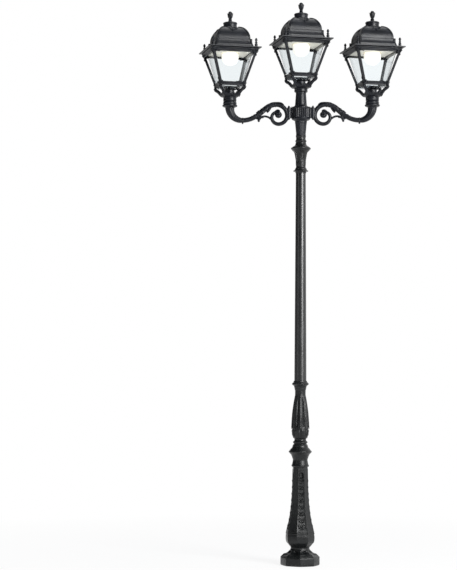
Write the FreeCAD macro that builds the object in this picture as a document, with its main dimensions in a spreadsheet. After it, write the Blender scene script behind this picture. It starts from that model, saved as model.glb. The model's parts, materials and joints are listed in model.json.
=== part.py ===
"""Triple head lamp post: a cast post on a steel mast, with a head that carries three square lanterns.

The frame has +Z up and its origin on the ground at the middle of the plinth. The arms lie along X and
the front is -Y. Every length is in millimetres and every angle in degrees. A height on a lantern is
measured from the top of its rim, and a height on a casting of the post from that casting's foot.
"""

import FreeCAD
import Part
import Sketcher
import math
import os
import re
from FreeCAD import Placement, Rotation, Vector

# Driving dimensions: name, size, what it is.
SIZES = (
    ("mast_across", 48.3, "outside diameter of the steel mast"),
    ("mast_wall", 3.2, "wall of the mast"),
    ("mast_in_hub", 160, "how far the mast reaches into the hub"),
    ("flange_across", 190, "diameter of the mast's foot flange"),
    ("flange_thick", 12, "thickness of the foot flange"),
    ("anchor_circle", 140, "pitch circle of the anchor holes"),
    ("anchor_hole", 14, "diameter of an anchor hole"),
    ("turning_gap", 0.05, "radial running clearance of a shaft in a bore"),
    ("sleeve_gap", 0.4, "radial clearance between the mast and a casting"),
    ("casting_wall", 7, "wall of the post's castings"),
    ("plinth_width", 245, "plinth, corner to corner"),
    ("plinth_turn", 22.5, "turn of the plinth, which sets a corner to the front"),
    ("plinth_height", 112, "plinth with its neck"),
    ("plinth_side_height", 52, "upright side of the plinth"),
    ("plinth_corner", 8, "rounding at the foot of the plinth"),
    ("neck_across", 118, "neck between plinth and pedestal"),
    ("neck_height", 18, "height of that neck"),
    ("pedestal_height", 500, "eight-sided pedestal"),
    ("pedestal_foot_across", 150, "pedestal at its foot, corner to corner"),
    ("pedestal_belly_across", 186, "pedestal at its widest"),
    ("pedestal_belly_height", 68, "height of the widest stretch"),
    ("pedestal_waist_across", 97, "pedestal at its narrowest"),
    ("pedestal_turn", 10, "turn of the pedestal's front face"),
    ("knob_height", 178, "moulding above the pedestal"),
    ("knob_across", 143, "its knob"),
    ("knob_ring_across", 113, "its lower ring"),
    ("knob_foot_across", 95, "its foot"),
    ("knob_bead_across", 84, "its upper bead"),
    ("knob_top_across", 74, "its top"),
    ("baluster_height", 328, "fluted baluster"),
    ("baluster_cup_across", 109, "leaf cup on the baluster"),
    ("baluster_top_across", 67, "top of the baluster"),
    ("lower_collar_height", 34, "collar under the shaft"),
    ("lower_collar_across", 105, "its flange"),
    ("shaft_height", 1314, "tapered shaft"),
    ("shaft_foot_across", 76, "shaft at its foot"),
    ("shaft_top_across", 63, "shaft at its top"),
    ("shaft_wall", 4, "wall of the shaft"),
    ("upper_collar_height", 26, "collar on top of the shaft"),
    ("upper_collar_across", 96, "its flange"),
    ("capital_height", 211, "capital"),
    ("capital_cushion_across", 122, "cushion of the capital"),
    ("capital_waist_across", 64, "waist of the capital"),
    ("capital_neck_across", 61, "neck rings over the cushion"),
    ("hub_height", 280, "hub up to the shoulder of its spigot"),
    ("hub_across", 108, "fluted body of the hub"),
    ("hub_body_foot", 110, "height of the body over the hub's foot"),
    ("hub_body_height", 76, "height of the fluted body"),
    ("hub_lip_across", 112, "lip ring under the body"),
    ("hub_taper_across", 76, "widest tapered neck of the hub"),
    ("hub_end_across", 61, "both ends of the hub's necks"),
    ("flute_across", 9, "width of a flute on the hub"),
    ("flute_count", 20, "flutes round the hub, with those that the arm seats hide"),
    ("pad_out", 57, "distance of an arm's seat from the post axis"),
    ("pad_width", 40, "width of that seat"),
    ("pad_height", 82, "height of that seat"),
    ("arm_reach", 452, "post axis to a side lantern's axis"),
    ("arm_drop", 55, "side lanterns below the middle one"),
    ("cup_height", 45, "cup at the end of an arm"),
    ("cup_top_across", 84, "its top"),
    ("cup_lip_across", 95, "its lip"),
    ("bend_radius", 79.5, "arm's bend under the cup"),
    ("sweep_radius", 160, "arm's upward sweep"),
    ("crest_radius", 100, "arm's turn over to the scroll"),
    ("rise_angle", 40, "steepest rise of the arm"),
    ("scroll_radius", 70, "first quarter of the scroll"),
    ("block_depth", 22, "end block of an arm"),
    ("block_height", 90, "height of that block"),
    ("arm_cup_across", 54, "arm's thickness under the cup"),
    ("arm_low_across", 31, "arm's thickness at its lowest point"),
    ("arm_crest_across", 30, "arm's thickness over the crest"),
    ("arm_tip_across", 18, "scroll's thickness at its tip"),
    ("eye_across", 46, "eye of the scroll"),
    ("leaf_across", 14, "leaf stem that ties scroll and arm"),
    ("stud_across", 10, "arm stud"),
    ("stud_length", 28, "length of an arm stud"),
    ("stud_spacing", 46, "distance between the two studs of an arm"),
    ("spigot_across", 60, "spigot in each lantern's collar"),
    ("spigot_height", 28, "height of a spigot"),
    ("wire_bore", 22, "passage for the leads"),
    ("lantern_turn", 15, "how far each lantern stands turned"),
    ("lantern_height", 327, "collar's mouth to the top of the rim"),
    ("collar_across", 84, "collar of the lantern"),
    ("collar_height", 22, "height of the collar"),
    ("crown_height", 10, "shoulder over the collar"),
    ("grub_across", 6, "grub screw in the collar"),
    ("grub_gap", 0.3, "loosened grub screw to spigot"),
    ("rim_side", 336, "rim of the roof, side to side"),
    ("rim_thick", 8, "thickness of the rim"),
    ("rim_edge", 6, "thickness of its outer edge"),
    ("rim_bevel", 11, "width of the bevel under the edge"),
    ("roof_wall", 3.5, "wall of the roof"),
    ("rim_mouth", 224, "opening in the rim"),
    ("cornice_foot", 242, "cornice, side to side at its foot"),
    ("cornice_top", 224, "cornice at its top"),
    ("cornice_height", 54, "height of the cornice"),
    ("rib_thick", 12, "rib on a corner of the cornice"),
    ("dome_foot", 214, "dome, side to side at its foot"),
    ("dome_shoulder", 178, "dome at its shoulder"),
    ("dome_shoulder_height", 113, "height of that shoulder"),
    ("dome_crown", 96, "flat crown of the dome"),
    ("dome_height", 138, "height of the crown over the rim"),
    ("vent_across", 87, "vent collar"),
    ("vent_lid_across", 90, "lid of the vent collar"),
    ("vent_height", 38, "vent collar with its lid"),
    ("vent_wall", 3.5, "wall of the vent collar"),
    ("cap_boss_across", 22, "boss in the middle of the lid"),
    ("cap_boss_height", 13, "height of the lid's cone and boss"),
    ("crown_height_over_cap", 59, "crown finial"),
    ("crown_across", 43, "its petals"),
    ("crown_stud_across", 6, "its stud"),
    ("crown_stud_length", 12, "length of that stud"),
    ("finial_across", 19, "corner finial at its base"),
    ("finial_base_height", 21, "height of that base"),
    ("finial_height", 58, "corner finial"),
    ("finial_spacing", 276, "corner finials, middle to middle"),
    ("finial_stud_across", 6, "stud under a corner finial"),
    ("finial_stud_length", 26, "length of that stud"),
    ("screw_gap", 0.05, "radial clearance of a screw in its hole"),
    ("cage_top", 302, "cage, side to side under the rim"),
    ("cage_foot", 158, "cage at its foot"),
    ("cage_height", 230, "height of the cage"),
    ("cage_wall", 8, "depth of the cage's bars"),
    ("post_width", 16.5, "width of a corner post"),
    ("top_rail", 25, "height of the top rail"),
    ("foot_rail", 24, "height of the foot rail"),
    ("corner_boss_across", 14, "boss for a screw in a cage corner"),
    ("foot_boss_spacing", 156, "foot bosses, middle to middle"),
    ("foot_boss_height", 12, "height of a foot boss in the cage"),
    ("gasket_thick", 2, "gasket between rim and cage"),
    ("gasket_width", 14, "width of the gasket"),
    ("diffuser_top", 252, "diffuser, side to side at its top"),
    ("diffuser_foot", 133, "diffuser at its foot"),
    ("diffuser_depth", 247, "rim to the diffuser's foot"),
    ("diffuser_wall", 3, "wall of the diffuser"),
    ("diffuser_lip", 5, "width of the diffuser's lip"),
    ("lip_thick", 2.5, "thickness of that lip"),
    ("ledge_thick", 3.5, "ledge in the cage under the lip"),
    ("part_gap", 0.3, "gap between loose neighbours"),
    ("reflector_side", 234, "reflector tray, side to side"),
    ("reflector_depth", 24, "rim to the reflector's face"),
    ("reflector_wall", 1.5, "sheet of the reflector"),
    ("well_across", 114, "well round the lamp"),
    ("well_height", 36, "height of the well"),
    ("holder_across", 42, "lampholder"),
    ("holder_height", 46, "height of the lampholder"),
    ("cap_screw_across", 26, "screw cap of the lamp"),
    ("cap_screw_length", 25, "length of that screw cap"),
    ("globe_across", 108, "opal globe"),
    ("globe_depth", 46, "rim to the middle of the globe"),
    ("globe_neck_across", 34, "neck of the globe"),
    ("globe_wall", 2.5, "wall of the globe"),
    ("block_width", 18, "terminal block, width"),
    ("block_long", 40, "terminal block, length"),
    ("block_tall", 14, "terminal block, height"),
    ("gland_across", 58, "gland cup under the diffuser"),
    ("gland_plate_across", 84, "its plate"),
    ("gland_plate_thick", 3, "thickness of that plate"),
    ("gland_drop", 251, "rim to the top of the gland cup"),
    ("nipple_across", 20, "threaded nipple through the diffuser"),
    ("leg_across", 17, "leg of the bracket"),
    ("leg_foot_height", 10, "foot boss of a leg"),
    ("foot_stud_across", 6, "stud between leg and cage"),
    ("foot_stud_length", 20, "length of that stud"),
)

# Heights along the post, from the ground.
PEDESTAL_FOOT = "plinth_height"
KNOB_FOOT = PEDESTAL_FOOT + " + pedestal_height"
BALUSTER_FOOT = KNOB_FOOT + " + knob_height"
LOWER_COLLAR_FOOT = BALUSTER_FOOT + " + baluster_height"
SHAFT_FOOT = LOWER_COLLAR_FOOT + " + lower_collar_height"
UPPER_COLLAR_FOOT = SHAFT_FOOT + " + shaft_height"
CAPITAL_FOOT = UPPER_COLLAR_FOOT + " + upper_collar_height"
HUB_FOOT = CAPITAL_FOOT + " + capital_height"
MIDDLE_SEAT = HUB_FOOT + " + hub_height"
SIDE_SEAT = MIDDLE_SEAT + " - arm_drop"
PAD_MIDDLE = "(" + HUB_FOOT + " + hub_body_foot + hub_body_height / 2)"

# Heights on a lantern, from the top of its rim.
CAGE_TOP = "-(rim_thick + gasket_thick)"
CAGE_FOOT = "-(rim_thick + cage_height)"
COLLAR_FOOT = "-lantern_height"
COLLAR_TOP = "(collar_height - lantern_height)"
CROWN_TOP = "(collar_height + crown_height - lantern_height)"
WELL_TOP = "(well_height - reflector_depth)"
HOLDER_FACE = WELL_TOP
CAP_FOOT = "(dome_height + vent_height + cap_boss_height)"
# The cage's half side grows by this much for each millimetre of height.
CAGE_SLOPE = "((cage_top - cage_foot) / 2 / cage_height)"

MAST_RADIUS = "mast_across / 2"
SLEEVE_RADIUS = "(mast_across / 2 + sleeve_gap)"
SPIGOT_BORE = "(spigot_across / 2 + turning_gap)"

# Each quarter turn of the scroll is this share of the one before.
SCROLL_SHRINK = 0.78
# The arm has a station about every so many degrees of its way.
STEP_ANGLE = 20

NAME_IN_FORMULA = re.compile(r"[a-z]\w*(?![\w(])")
UP = Vector(0, 0, 1)
CORNERS = ((1, 1), (-1, 1), (-1, -1), (1, -1))

document = FreeCAD.newDocument("lamp_post")
sheet = document.addObject("Spreadsheet::Sheet", "sizes")
nodes = []


def fill_sheet():
    """Writes each driving dimension, its name and its meaning into the sheet."""
    for row, (name, size, meaning) in enumerate(SIZES, 1):
        sheet.set(f"A{row}", name)
        sheet.set(f"B{row}", str(size))
        sheet.set(f"C{row}", meaning)
        sheet.setAlias(f"B{row}", name)
    document.recompute()


def size(text):
    """The value of a formula of named sizes."""
    return float(sheet.evalExpression(str(text)))


def linked(text):
    """The same formula as another object of the document writes it."""
    return NAME_IN_FORMULA.sub(lambda name: "sizes." + name.group(), str(text))


def bind(thing, **formulas):
    """Ties properties to formulas; a double underscore in a name stands for a dot."""
    for name, text in formulas.items():
        if NAME_IN_FORMULA.search(str(text)):
            thing.setExpression(name.replace("__", "."), linked(text))
        else:
            holder, _, last = name.replace("__", ".").rpartition(".")
            if holder:
                thing.setExpression(name.replace("__", "."), str(text))
            else:
                setattr(thing, last, float(text))
    return thing


def move(thing, x="0", y="0", z="0"):
    """Ties the place of an object to three formulas."""
    for axis, text in (("x", x), ("y", y), ("z", z)):
        if str(text) != "0":
            thing.setExpression("Placement.Base." + axis, linked(text))
    return thing


def node(thing, label):
    """Names a finished sub-part."""
    thing.Label = label
    nodes.append(thing)
    return thing


def chord_radius(start, end, roundness):
    """Formula for the radius of an arc over two corners; roundness is its height over its chord."""
    chord = f"sqrt(({end[0]} - ({start[0]}))^2 + ({end[1]} - ({start[1]}))^2)"
    return f"({chord} * {(0.25 + roundness ** 2) / (2 * abs(roundness))})"


def arc_between(start, end, roundness):
    """Arc from start to end that bulges to the right of its way for a positive roundness."""
    ahead = end - start
    chord = ahead.Length
    radius = chord * (0.25 + roundness ** 2) / (2 * abs(roundness))
    side = Vector(ahead.y, -ahead.x, 0) / chord * math.copysign(1, roundness)
    centre = (start + end) / 2 - side * (radius - abs(roundness) * chord)
    first, last = (start, end) if roundness > 0 else (end, start)
    angles = [math.atan2(point.y - centre.y, point.x - centre.x) for point in (first, last)]
    return Part.ArcOfCircle(Part.Circle(centre, UP, radius), *angles)


def outline(sketch, corners):
    """Draws a closed outline and ties each corner to its formulas.

    A corner is (across, up), or (across, up, roundness) where an arc leaves it for the next one.
    """
    points = [Vector(size(corner[0]), size(corner[1]), 0) for corner in corners]
    ends = []
    for index, corner in enumerate(corners):
        start, end = points[index], points[(index + 1) % len(corners)]
        if len(corner) == 3:
            sketch.addGeometry(arc_between(start, end, corner[2]))
            ends.append((1, 2) if corner[2] > 0 else (2, 1))
        else:
            sketch.addGeometry(Part.LineSegment(start, end))
            ends.append((1, 2))
    for index, corner in enumerate(corners):
        after = (index + 1) % len(corners)
        sketch.addConstraint(Sketcher.Constraint("Coincident", index, ends[index][1], after, ends[after][0]))
        for kind, text in (("DistanceX", corner[0]), ("DistanceY", corner[1])):
            rule = Sketcher.Constraint(kind, -1, 1, index, ends[index][0], size(text))
            number = sketch.addConstraint(rule)
            if NAME_IN_FORMULA.search(str(text)):
                sketch.setExpression(f"Constraints[{number}]", linked(text))
        if len(corner) == 3:
            radius = chord_radius(corner, corners[after], corner[2])
            number = sketch.addConstraint(Sketcher.Constraint("Radius", index, size(radius)))
            sketch.setExpression(f"Constraints[{number}]", linked(radius))


def turned(name, corners):
    """Body turned round Z from an outline of (radius, height) corners."""
    body = document.addObject("PartDesign::Body", name)
    plane = next(item for item in body.Origin.OriginFeatures if item.Role == "XZ_Plane")
    sketch = body.newObject("Sketcher::SketchObject", name + "_outline")
    sketch.AttachmentSupport = [(plane, "")]
    sketch.MapMode = "FlatFace"
    outline(sketch, corners)
    turn = body.newObject("PartDesign::Revolution", name + "_turn")
    turn.Profile = sketch
    turn.ReferenceAxis = (sketch, ["V_Axis"])
    turn.Angle = 360
    sketch.Visibility = False
    return body


def slab(name, corners, length, turn=0):
    """Solid with the given upright outline, as long as length and centred, turned about Z."""
    sketch = document.addObject("Sketcher::SketchObject", name + "_outline")
    sketch.Placement = Placement(Vector(), Rotation(UP, turn) * Rotation(Vector(1, 0, 0), 90))
    outline(sketch, corners)
    solid = document.addObject("Part::Extrusion", name)
    solid.Base = sketch
    solid.DirMode = "Normal"
    solid.Solid = True
    solid.Symmetric = True
    return bind(solid, LengthFwd=length)


def both_sides(corners):
    """Closed outline from the corners of its right half, bottom to top."""
    left = []
    for index in range(len(corners) - 1, -1, -1):
        corner = (f"-({corners[index][0]})", corners[index][1])
        rounded = index > 0 and len(corners[index - 1]) == 3
        left.append(corner + (corners[index - 1][2],) if rounded else corner)
    return list(corners) + left


def square_stack(name, corners, widest):
    """Solid whose level sections are squares with the half sides that the corners give."""
    whole = both_sides(corners)
    across = slab(name + "_x", whole, widest)
    along = slab(name + "_y", whole, widest, turn=90)
    both = document.addObject("Part::Common", name)
    both.Base, both.Tool = across, along
    return both


def cylinder(name, radius, height, x="0", y="0", z="0", tilt=None):
    """Cylinder on a bound place; tilt turns its axis."""
    thing = document.addObject("Part::Cylinder", name)
    if tilt:
        thing.Placement = Placement(Vector(), tilt)
    bind(thing, Radius=radius, Height=height)
    return move(thing, x, y, z)


def ball(name, radius, height):
    """Sphere with its middle on the axis."""
    thing = document.addObject("Part::Sphere", name)
    bind(thing, Radius=radius)
    return move(thing, z=height)


def group(name, things):
    """Several solids kept apart in one object."""
    compound = document.addObject("Part::Compound", name)
    compound.Links = things
    return compound


def fused(name, things):
    """One solid from several that meet."""
    whole = document.addObject("Part::MultiFuse", name)
    whole.Shapes = things
    whole.Refine = True
    return whole


def cut(name, base, tools):
    """The base without the tools."""
    result = document.addObject("Part::Cut", name)
    result.Base = base
    result.Tool = tools[0] if len(tools) == 1 else group(name + "_tools", tools)
    return result


def at_corners(name, spacing, make):
    """One thing at each corner of a square of the given spacing."""
    return [
        make(f"{name}_{index}", f"{x} * {spacing} / 2", f"{y} * {spacing} / 2")
        for index, (x, y) in enumerate(CORNERS)
    ]


def octagon(name, across, height, turn="0"):
    """Level eight-sided wire, as wide as across from corner to corner, a flat side to the front."""
    wire = document.addObject("Part::RegularPolygon", name)
    wire.Polygon = 8
    wire.Placement = Placement(Vector(), Rotation(UP, 22.5))
    bind(wire, Circumradius=f"({across}) / 2", Placement__Rotation__Angle=f"22.5 + {turn}")
    return move(wire, z=height)


def eight_sided(name, stations, turn="0"):
    """Solid through level octagons of (across, height)."""
    sections = [
        octagon(f"{name}_{index}", across, height, turn)
        for index, (across, height) in enumerate(stations)
    ]
    solid = document.addObject("Part::Loft", name)
    solid.Sections = sections
    solid.Solid = True
    solid.Ruled = True
    return solid


# The post


def mast():
    """Steel tube with a welded foot flange that takes the anchor bolts."""
    inner = "(mast_across / 2 - mast_wall)"
    top = HUB_FOOT + " + mast_in_hub"
    tube = turned("mast_tube", [
        (inner, "0"), ("flange_across / 2", "0"), ("flange_across / 2", "flange_thick"),
        (MAST_RADIUS, "flange_thick"), (MAST_RADIUS, top), (inner, top),
    ])
    spacing = "anchor_circle / sqrt(2)"
    holes = at_corners("anchor_hole", spacing, lambda name, x, y: cylinder(
        name, "anchor_hole / 2", "3 * flange_thick", x, y, "-flange_thick"))
    return node(cut("mast_drilled", tube, holes), "mast")


def plinth():
    """Hollow eight-sided cover over the foot flange, closing to a round neck."""
    rise = "(plinth_height - neck_height - plinth_side_height)"
    shell = eight_sided("plinth_shell", [
        ("plinth_width - plinth_corner", "0"),
        ("plinth_width", "plinth_corner"),
        ("plinth_width", "plinth_side_height"),
        ("plinth_width * 0.6 + neck_across * 0.4", f"plinth_side_height + 0.5 * {rise}"),
        ("neck_across + 2 * casting_wall", f"plinth_side_height + {rise}"),
    ], "plinth_turn")
    neck = cylinder("plinth_neck", "neck_across / 2", "plinth_height - plinth_side_height",
                    z="plinth_side_height")
    room = eight_sided("plinth_room", [
        ("plinth_width - 3 * casting_wall", "-casting_wall"),
        ("plinth_width - 3 * casting_wall", "plinth_side_height - casting_wall"),
        ("neck_across - casting_wall", f"plinth_side_height - casting_wall + {rise}"),
    ], "plinth_turn")
    bore = cylinder("plinth_bore", SLEEVE_RADIUS, "2 * plinth_height")
    return node(cut("plinth_cut", fused("plinth_body", [shell, neck]), [room, bore]), "plinth")


def pedestal():
    """Eight-sided pedestal that sweeps in from its belly to a slim waist."""
    slim = "(pedestal_belly_across - pedestal_waist_across)"
    body = "(pedestal_height - pedestal_belly_height)"

    def station(share, height_share, inside=""):
        return (f"(pedestal_waist_across + {share} * {slim}) {inside}",
                f"pedestal_belly_height + {height_share} * {body}")

    def stations(inside=""):
        return [station(1, 0, inside), station(0.84, 0.1, inside), station(0.58, 0.2, inside),
                station(0.36, 0.32, inside), station(0.18, 0.48, inside), station(0.05, 0.7, inside),
                station(0, 1, inside)]

    outer = eight_sided("pedestal_shell", [
        ("pedestal_foot_across * 0.85", "0"), ("pedestal_foot_across", "pedestal_belly_height * 0.25"),
        ("pedestal_belly_across * 0.97", "pedestal_belly_height * 0.6"),
    ] + stations(), "pedestal_turn")
    inside = "- 2.2 * casting_wall"
    lowest = ("pedestal_foot_across * 0.85 - 2.2 * casting_wall", "-casting_wall")
    room = eight_sided("pedestal_room", [
        lowest, ("pedestal_belly_across * 0.85 " + inside, "pedestal_belly_height * 0.7"),
    ] + stations(inside)[1:-1] + [("pedestal_waist_across " + inside, "pedestal_height - 2 * casting_wall")],
        "pedestal_turn")
    bore = cylinder("pedestal_bore", SLEEVE_RADIUS, "2 * pedestal_height")
    seat = cylinder("pedestal_seat", "neck_across / 2 + sleeve_gap", "casting_wall", z="-casting_wall")
    whole = cut("pedestal_cut", outer, [room, bore, seat])
    return node(move(whole, z=PEDESTAL_FOOT), "pedestal")


def knob():
    """Turned moulding between pedestal and baluster: ring, cup, knob and bead."""
    up = "knob_height"
    body = turned("knob_body", [
        (SLEEVE_RADIUS, "0"), ("knob_foot_across / 2", "0"),
        ("knob_ring_across / 2", f"0.03 * {up}", 0.4), ("knob_ring_across / 2", f"0.1 * {up}"),
        ("knob_foot_across / 2", f"0.13 * {up}"), ("knob_foot_across / 2", f"0.24 * {up}", -0.15),
        ("knob_across / 2 - 12", f"0.46 * {up}"), ("knob_across / 2 - 3", f"0.49 * {up}", 0.45),
        ("knob_across / 2 - 3", f"0.62 * {up}"), ("knob_across / 2 - 16", f"0.67 * {up}", -0.1),
        ("knob_foot_across / 2", f"0.78 * {up}"), ("knob_bead_across / 2", f"0.82 * {up}"),
        ("knob_bead_across / 2 - 1", f"0.84 * {up}", 0.35), ("knob_bead_across / 2 - 1", f"0.93 * {up}"),
        ("knob_top_across / 2", f"0.95 * {up}"), ("knob_top_across / 2", up), (SLEEVE_RADIUS, up),
    ])
    return node(move(body, z=KNOB_FOOT), "knob")


def baluster():
    """Baluster with a leaf cup below a slim tapered neck."""
    up = "baluster_height"
    body = turned("baluster_body", [
        (SLEEVE_RADIUS, "0"), ("knob_top_across / 2", "0"),
        ("baluster_cup_across / 2 - 9", f"0.03 * {up}", 0.12), ("baluster_cup_across / 2", f"0.17 * {up}"),
        ("baluster_cup_across / 2 - 3", f"0.25 * {up}", 0.1),
        ("baluster_cup_across / 2 - 6", f"0.52 * {up}", -0.06),
        ("baluster_top_across / 2 + 1", f"0.85 * {up}"), ("baluster_top_across / 2", up), (SLEEVE_RADIUS, up),
    ])
    return node(move(body, z=BALUSTER_FOOT), "baluster")


def lower_collar():
    """Flanged collar that carries the foot of the shaft."""
    up = "lower_collar_height"
    body = turned("lower_collar_body", [
        (SLEEVE_RADIUS, "0"), ("baluster_top_across / 2 + 1", "0"),
        ("baluster_top_across / 2 + 6", f"0.3 * {up}", -0.1), ("lower_collar_across / 2", f"0.46 * {up}"),
        ("lower_collar_across / 2", f"0.64 * {up}"), ("shaft_foot_across / 2 + 4", f"0.76 * {up}"),
        ("shaft_foot_across / 2 + 4", up), (SLEEVE_RADIUS, up),
    ])
    return node(move(body, z=LOWER_COLLAR_FOOT), "lower_collar")


def shaft():
    """Tapered tube of the shaft."""
    body = turned("shaft_body", [
        ("shaft_foot_across / 2 - shaft_wall", "0"), ("shaft_foot_across / 2", "0"),
        ("shaft_top_across / 2", "shaft_height"), ("shaft_top_across / 2 - shaft_wall", "shaft_height"),
    ])
    return node(move(body, z=SHAFT_FOOT), "shaft")


def upper_collar():
    """Sharp flange that closes the top of the shaft."""
    up = "upper_collar_height"
    body = turned("upper_collar_body", [
        (SLEEVE_RADIUS, "0"), ("shaft_top_across / 2 + 2", "0"),
        ("shaft_top_across / 2 + 4", f"0.35 * {up}", -0.1), ("upper_collar_across / 2", f"0.42 * {up}"),
        ("upper_collar_across / 2", f"0.6 * {up}"), ("capital_waist_across / 2 + 7", f"0.75 * {up}"),
        ("capital_waist_across / 2 + 6", up), (SLEEVE_RADIUS, up),
    ])
    return node(move(body, z=UPPER_COLLAR_FOOT), "upper_collar")


def capital():
    """Capital: waist, flared neck, cushion and the rings that carry the hub."""
    up = "capital_height"
    neck = "capital_neck_across / 2"
    body = turned("capital_body", [
        (SLEEVE_RADIUS, "0"), ("capital_waist_across / 2 + 6", "0", -0.15),
        ("capital_waist_across / 2", f"0.13 * {up}"), ("capital_waist_across / 2 + 1", f"0.27 * {up}"),
        ("capital_waist_across / 2 + 7", f"0.45 * {up}", -0.12),
        ("capital_cushion_across / 2 - 5", f"0.57 * {up}"),
        ("capital_cushion_across / 2 - 2", f"0.58 * {up}", 0.4),
        ("capital_cushion_across / 2 - 7", f"0.67 * {up}", -0.12), (neck + " + 2.5", f"0.8 * {up}"),
        (neck + " + 3.5", f"0.82 * {up}"), (neck + " + 3.5", f"0.87 * {up}"), (neck, f"0.89 * {up}"),
        (neck, f"0.95 * {up}"), (neck + " + 2", f"0.97 * {up}"), (neck + " + 2", up), (SLEEVE_RADIUS, up),
    ])
    return node(move(body, z=CAPITAL_FOOT), "capital")


# The head


def arm_seat_box(name, near, far, width, height):
    """Upright block between two distances from the post axis, centred on the arms' seats."""
    box = document.addObject("Part::Box", name)
    bind(box, Length=f"{far} - ({near})", Width=width, Height=height)
    return move(box, near, f"-({width}) / 2", f"{PAD_MIDDLE} - ({height}) / 2")


def stud_tilt(side):
    """Rotation that lays a cylinder along X, outwards on the given side."""
    return Rotation(Vector(0, 1, 0), 90 * side)


def stud_heights():
    """Heights of an arm's two studs."""
    return [f"{PAD_MIDDLE} + {sign} * stud_spacing / 2" for sign in (1, -1)]


def stud_holes(name, gap):
    """Cylinders along both arms' studs, wider than a stud by gap all round."""
    return [
        cylinder(f"{name}_{place}_{index}", f"stud_across / 2 + {gap}", f"stud_length + 2 * ({gap})",
                 f"{side} * (pad_out - stud_length / 2 - {gap})", "0", height, stud_tilt(side))
        for place, side in (("left", -1), ("right", 1))
        for index, height in enumerate(stud_heights())
    ]


def hub():
    """Hub: tapered necks, lip ring, fluted body with two arm seats, and the middle spigot."""
    foot, body = "hub_body_foot", "hub_body_height"
    bore, wire = f"({MAST_RADIUS} + turning_gap)", "wire_bore / 2"
    ceiling = "mast_in_hub + part_gap"
    spigot = "spigot_across / 2"
    core = turned("hub_core", [
        (bore, "0"), ("hub_end_across / 2", "0"), ("hub_taper_across / 2", f"{foot} - 30"),
        ("hub_taper_across / 2", f"{foot} - 16", -0.15), ("hub_lip_across / 2", f"{foot} - 9"),
        ("hub_lip_across / 2", foot), ("hub_across / 2", foot), ("hub_across / 2", f"{foot} + {body}"),
        ("hub_taper_across / 2 + 2", f"{foot} + {body} + 7"),
        ("hub_taper_across / 2", f"{foot} + {body} + 12"),
        ("hub_end_across / 2 + 1", "hub_height"), (spigot, "hub_height"),
        (spigot, "hub_height + spigot_height"), (wire, "hub_height + spigot_height"),
        (wire, ceiling), (bore, ceiling),
    ])
    move(core, z=HUB_FOOT)
    pads = [
        arm_seat_box("seat_right", "hub_across / 4", "pad_out", "pad_width", "pad_height"),
        arm_seat_box("seat_left", "-pad_out", "-hub_across / 4", "pad_width", "pad_height"),
    ]
    room = cylinder("hub_room", bore, ceiling, z=HUB_FOOT)
    hidden = size("pad_width + flute_across") / size("hub_across")
    flutes = [flute(angle) for angle in flute_angles() if abs(math.sin(math.radians(angle))) > hidden]
    tools = [room] + flutes + stud_holes("hub_stud_hole", "screw_gap")
    return node(cut("hub_cut", fused("hub_body", [core] + pads), tools), "hub")


def flute_angles():
    """Angles of the hub's flutes, in degrees, the first one half a step from the right arm."""
    step = 360 / size("flute_count")
    return [step * (index + 0.5) for index in range(round(size("flute_count")))]


def flute(angle):
    """One upright groove in the hub's body."""
    out = "hub_across / 2 + flute_across * 0.3"
    return cylinder(f"flute_{angle:.0f}", "flute_across / 2", "hub_body_height - 10",
                    f"({out}) * cos({angle})", f"({out}) * sin({angle})", f"{HUB_FOOT} + hub_body_foot + 4")


def arm_path():
    """Stations of an arm from its cup to the scroll's tip: (place, heading, thickness).

    The way out is a chain of arcs: a bend, an upward sweep, a straight rise that takes up what is left
    of the reach, the crest, and then quarter turns that shrink towards the eye.
    """
    rise, quarters = size("rise_angle"), 4
    scroll = size("scroll_radius")
    side = size("pad_out") + size("block_depth") + size("arm_crest_across") * 0.3
    bend, sweep, crest = size("bend_radius"), size("sweep_radius"), size("crest_radius")
    spare = size("arm_reach") - side - bend - scroll - (sweep + crest) * math.sin(math.radians(rise))
    straight = spare / math.cos(math.radians(rise))
    thick = [size(f"arm_{place}_across") for place in ("cup", "low", "crest", "tip")]
    legs = [
        (-90, bend, thick[0], thick[1]), (-rise, sweep, thick[1], thick[2]),
        (0, straight, thick[2], thick[2]), (rise, crest, thick[2], thick[2]),
    ]
    for quarter in range(quarters):
        start, end = (thick[2] + (thick[3] - thick[2]) * (quarter + step) / quarters for step in (0, 1))
        legs.append((90, scroll * SCROLL_SHRINK ** quarter, start, end))
    x, z, heading = size("arm_reach"), size(SIDE_SEAT) - size("cup_height"), -90.0
    stations = [
        (Vector(x, 0, z + size("cup_height") / 4), heading, thick[0]), (Vector(x, 0, z), heading, thick[0]),
    ]
    for turn, length, before, after in legs:
        steps = max(1, round(abs(turn) / STEP_ANGLE))
        for step in range(1, steps + 1):
            if turn:
                part = turn / steps
                chord = 2 * length * math.sin(math.radians(abs(part) / 2))
                way = math.radians(heading + part / 2)
                heading += part
            else:
                chord, way = length, math.radians(heading)
            x, z = x + chord * math.cos(way), z + chord * math.sin(way)
            stations.append((Vector(x, 0, z), heading, before + (after - before) * step / steps))
    return stations


def ring_at(name, place, heading, across):
    """Circle across the way at a station of a path in the XZ plane."""
    circle = document.addObject("Part::Circle", name)
    circle.Radius = across / 2
    circle.Placement = Placement(place, Rotation(Vector(0, 1, 0), 90 - heading) * Rotation(UP, 90))
    return circle


def tube_through(name, stations):
    """Solid through a circle at each station."""
    solid = document.addObject("Part::Loft", name)
    solid.Sections = [
        ring_at(f"{name}_{index}", place, heading, across)
        for index, (place, heading, across) in enumerate(stations)
    ]
    solid.Solid = True
    return solid


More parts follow.
